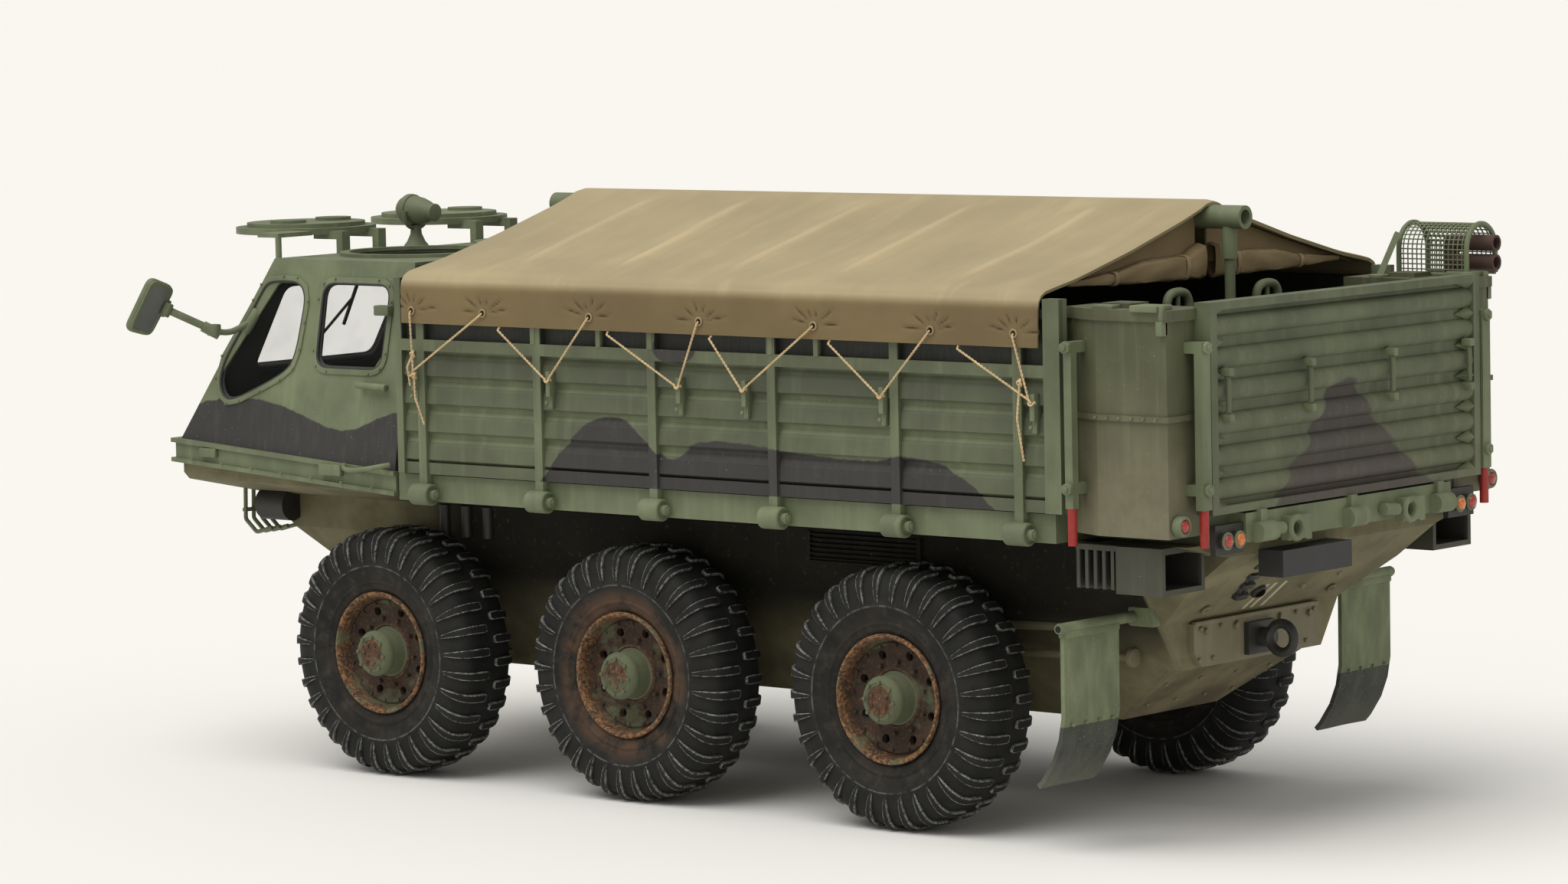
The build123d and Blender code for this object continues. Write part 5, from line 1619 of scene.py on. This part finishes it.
class TRUCK_OT_stern_trim(bpy.types.Operator):
    """Models the mud flaps and adds the bolts, tubes, bracket and pipe stub of the stern"""

    bl_idname = "truck.stern_trim"
    bl_label = "Stern trim"

    def execute(self, context):
        # flaps on their rods: (station, height) down the flap's section
        section = [
            (-76.6, 29.0), (-76.6, 23.0), (-76.6, 17.4), (-76.1, 14.6), (-75.0, 11.9), (-73.2, 9.3),
            (-72.3, 8.4),
        ]

        def hanging(u, v):
            x, z = between(section, u)
            return x + 0.12 * math.sin(v * 7 + u * 4) * u, 24.8 + 11.5 * v, z

        for side, hand in ((1, "left"), (-1, "right")):
            cloth = draped(36, 12, hanging)
            applied(cloth, "SOLIDIFY", thickness=0.6 * MM, offset=0)
            rod = bar((-76.6, 19.0, 28.9), (-76.6, 36.9, 28.9), 0.72, 20, 0.1)
            collar = bar((-76.6, 36.9, 28.9), (-76.6, 37.1, 28.9), 0.6, 20)
            clip = block((-77.3, 25.0, 27.6), (-75.9, 36.2, 28.6), 0.2)
            lug = block((-79.9, 18.6, 27.6), (-75.7, 21.4, 30.2), 0.4)
            row = studs([(-76.9, y, 16.5) for y in (26.4, 29.2, 32.0, 34.8)], (-1, 0, 0), 0.3, 0.28)
            flap = smoothed(joined([cloth, rod, collar, clip, lug, row], "flap"), TRIM_SMOOTH)
            if side < 0:
                flap = copies(flap, [MIRRORED], "flap")
            finish(flap, f"flap_{hand}", "flap", [f"mudflap_{hand}"])

        parts = []
        band = [(-80.8, y, 26.6) for y in (-12.6, -8.6, -5.0, 8.2, 4.6, 12.6)]
        band += [(-80.8, y, 22.6) for y in (-10.7, 13.0, 10.0)]
        parts.append(studs(band, (-1, 0, 0), 0.34, 0.4))
        parts.append(block((-81.0, -13.8, 27.0), (-80.2, 13.8, 27.6), 0.15))
        slant = Vector((-11.5, 0, 7.9)).normalized()
        plate_out = Vector((-slant.z, 0, slant.x)).normalized()
        plate_out = plate_out if plate_out.z < 0 else -plate_out
        belly = [(-69.7, y, 15.7) for y in (-9.4, -3.2, 3.2, 9.4)]
        belly += [(-74.4, y, 18.93) for y in (-11.6, -4.0, 4.0, 11.6)]
        parts.append(studs(belly, plate_out, 0.34, 0.3))
        sloping = Vector((-12.1, 0, 11.0)).normalized()
        away = Vector((-sloping.z, 0, sloping.x)).normalized()
        away = away if away.x < 0 else -away
        knobs = [(-83.9, -5.3, 31.1), (-85.1, -12.0, 32.2), (-86.3, -10.0, 33.3)]
        parts.append(studs(knobs, away, 0.5, 0.9))
        # tubes along the hull above the rear axle
        for side in (1, -1):
            parts += [
                bar((-54.0, side * 19.0, 26.2), (-63.0, side * 19.0, 26.5), 0.6, 16),
                bar((-55.0, side * 18.0, 22.5), (-73.6, side * 18.0, 23.0), 0.5, 16),
                bar((-73.6, side * 18.0, 23.0), (-74.4, side * 18.0, 23.0), 1.25, 24, 0.15),
                block((-66.0, side * 16.5 - 1.6, 22.2), (-64.6, side * 16.5 + 1.6, 23.6), 0.2),
                ring((-82.8, side * 14.0, 29.3), 0.55, 0.22, away, 20, 8),
            ]
        dressed(parts, "stern_fittings", "stern", smooth=TRIM_SMOOTH)

        # strap bracket and pipe stub
        def on_stern(y, z, out=0.0):
            return Vector((-79.9 - (z - 27.5) * 1.1, y, z)) + away * out

        dark_parts = [
            bar(on_stern(8.6, 31.2, 0.5), on_stern(11.9, 36.8, 0.5), 0.5, 10),
            bar(on_stern(9.6, 31.0, 0.5), on_stern(12.9, 36.6, 0.5), 0.5, 10),
            bar(on_stern(5.4, 31.6, -0.3), on_stern(5.4, 31.6, 1.1), 1.15, 24, 0.15),
        ]
        across = Vector((0, 1, 0))
        for t in (0.08, 0.36, 0.62, 0.9):
            centre = on_stern(9.1 + 3.3 * t, 31.1 + 5.6 * t, 0.8)
            out = across.cross(sloping)
            dark_parts.append(turned_block(centre, across, sloping, out, (2.4, 1.0, 1.2), 0.2))
        dressed(dark_parts, "stern_bracket", "steel", smooth=TRIM_SMOOTH)
        # rounded rims of the towing eyes, with their pins
        eyes = []
        for y in (-12.8, 12.8):
            eyes.append(ring((-97.05, y + 1.0, 40.7), 1.35, 0.42, (1, 0, 0), 28, 10))
            eyes.append(bar((-96.6, y + 3.4, 40.9), (-96.6, y + 6.6, 41.2), 0.8, 12, 0.1))
        dressed(eyes, "eye_rims", "green")

        # painted shade: dark discs in the pipe stub's bore and the flap rods' open ends
        dark = [bar(on_stern(5.4, 31.6, 1.0), on_stern(5.4, 31.6, 1.14), 0.8, 20)]
        for side in (1, -1):
            dark.append(bar((-76.6, side * 36.95, 28.9), (-76.6, side * 37.12, 28.9), 0.45, 16))
        dressed(dark, "dark_openings", "hole", smooth=None)
        return {"FINISHED"}


# Which finish each carried-over node gets
NODE_FINISH = {
    "hull": "hull", "stern_band": "stern", "suspension_left": "hull", "suspension_right": "hull",
    "breather_pipes": "steel", "outlet_left": "outlet", "outlet_right": "outlet", "cab_shell": "green_cab",
    "cab_glass": "glass", "cab_interior": "inside", "steering_wheel": "black", "side_left": "green_side",
    "side_right": "green_side", "tailgate": "green_gate", "locker_left": "locker", "locker_right": "locker",
    "bar_tips": "red", "tail_lamps": "steel", "plate_box": "black", "pintle_hook": "steel",
    "headlamp_left": "steel", "headlamp_right": "steel", "lamp_guard_left": "green",
    "lamp_guard_right": "green", "exhaust": "pipe_rust", "mudflap_left": "flap", "mudflap_right": "flap",
}


class TRUCK_OT_paint(bpy.types.Operator):
    """Gives every carried-over node its finish"""

    bl_idname = "truck.paint"
    bl_label = "Paint"

    def execute(self, context):
        for name, node in frame["nodes"].items():
            if node.hide_render:
                continue
            node.data.materials.clear()
            node.data.materials.append(finish_of(NODE_FINISH.get(name, "green")))
        return {"FINISHED"}


# Settings


def tone(name, description, default):
    return bpy.props.FloatVectorProperty(
        name=name, description=description, default=default, size=3, min=0, max=1, subtype="COLOR"
    )


class TruckColours(bpy.types.PropertyGroup):
    green: tone("Green", "Matt green of the body", (0.152, 0.178, 0.096))
    dark: tone("Dark patches", "Purplish brown of the patches", (0.036, 0.033, 0.031))
    hull: tone("Hull", "Dusty green of the lower hull", (0.168, 0.152, 0.086))
    canvas: tone("Canvas", "Khaki of the tilt", (0.375, 0.305, 0.175))
    rope: tone("Rope", "Tan of the lashing", (0.640, 0.475, 0.262))
    rubber: tone("Rubber", "Charcoal of the tyres", (0.0145, 0.0145, 0.0132))


class TruckSizes(bpy.types.PropertyGroup):
    bars: bpy.props.IntProperty(
        name="Bars", description="Tread bars on each half of a tyre", default=33, min=12, max=60
    )
    bar_width: bpy.props.FloatProperty(
        name="Bar width", description="Width of a tread bar in millimetres", default=1.1, min=0.4, max=2.4
    )
    fold_depth: bpy.props.FloatProperty(
        name="Fold depth", description="Depth of the tilt's folds in millimetres", default=0.9, min=0, max=2
    )
    rope_radius: bpy.props.FloatProperty(
        name="Rope radius",
        description="Radius of the lashing in millimetres",
        default=0.16,
        min=0.05,
        max=0.5,
    )


class TruckStage(bpy.types.PropertyGroup):
    floor: tone("Floor", "Cream of the floor and backdrop", (0.777, 0.772, 0.748))
    ambient: bpy.props.FloatProperty(
        name="Ambient", description="Strength of the light from all round", default=0.52, min=0, max=3
    )
    key: bpy.props.FloatProperty(
        name="Key light", description="Strength of the soft light from above", default=2.35, min=0, max=10
    )


class TRUCK_PT_panel(bpy.types.Panel):
    """Lists the steps and settings of the truck"""

    bl_idname = "TRUCK_PT_panel"
    bl_label = "Cargo truck"
    bl_space_type = "VIEW_3D"
    bl_region_type = "UI"
    bl_category = "Truck"

    def draw(self, context):
        for group in (context.scene.truck_sizes, context.scene.truck_colours, context.scene.truck_stage):
            box = self.layout.box()
            for key in group.__annotations__:
                box.prop(group, key)
        for step in STEPS:
            self.layout.operator(step.bl_idname)


STEPS = (
    TRUCK_OT_stage,
    TRUCK_OT_tyres,
    TRUCK_OT_rims,
    TRUCK_OT_tilt,
    TRUCK_OT_curtains,
    TRUCK_OT_lashing,
    TRUCK_OT_guard,
    TRUCK_OT_cab_trim,
    TRUCK_OT_mirrors,
    TRUCK_OT_searchlight,
    TRUCK_OT_bed_trim,
    TRUCK_OT_stern_trim,
    TRUCK_OT_paint,
)
CLASSES = (TruckColours, TruckSizes, TruckStage, *STEPS, TRUCK_PT_panel)


def register():
    for cls in CLASSES:
        bpy.utils.register_class(cls)
    bpy.types.Scene.truck_colours = bpy.props.PointerProperty(type=TruckColours)
    bpy.types.Scene.truck_sizes = bpy.props.PointerProperty(type=TruckSizes)
    bpy.types.Scene.truck_stage = bpy.props.PointerProperty(type=TruckStage)


def unregister():
    del bpy.types.Scene.truck_stage
    del bpy.types.Scene.truck_sizes
    del bpy.types.Scene.truck_colours
    for cls in reversed(CLASSES):
        bpy.utils.unregister_class(cls)


def main():
    register()
    for step in STEPS:
        group, name = step.bl_idname.split(".")
        getattr(getattr(bpy.ops, group), name)()


if __name__ == "__main__":
    main()
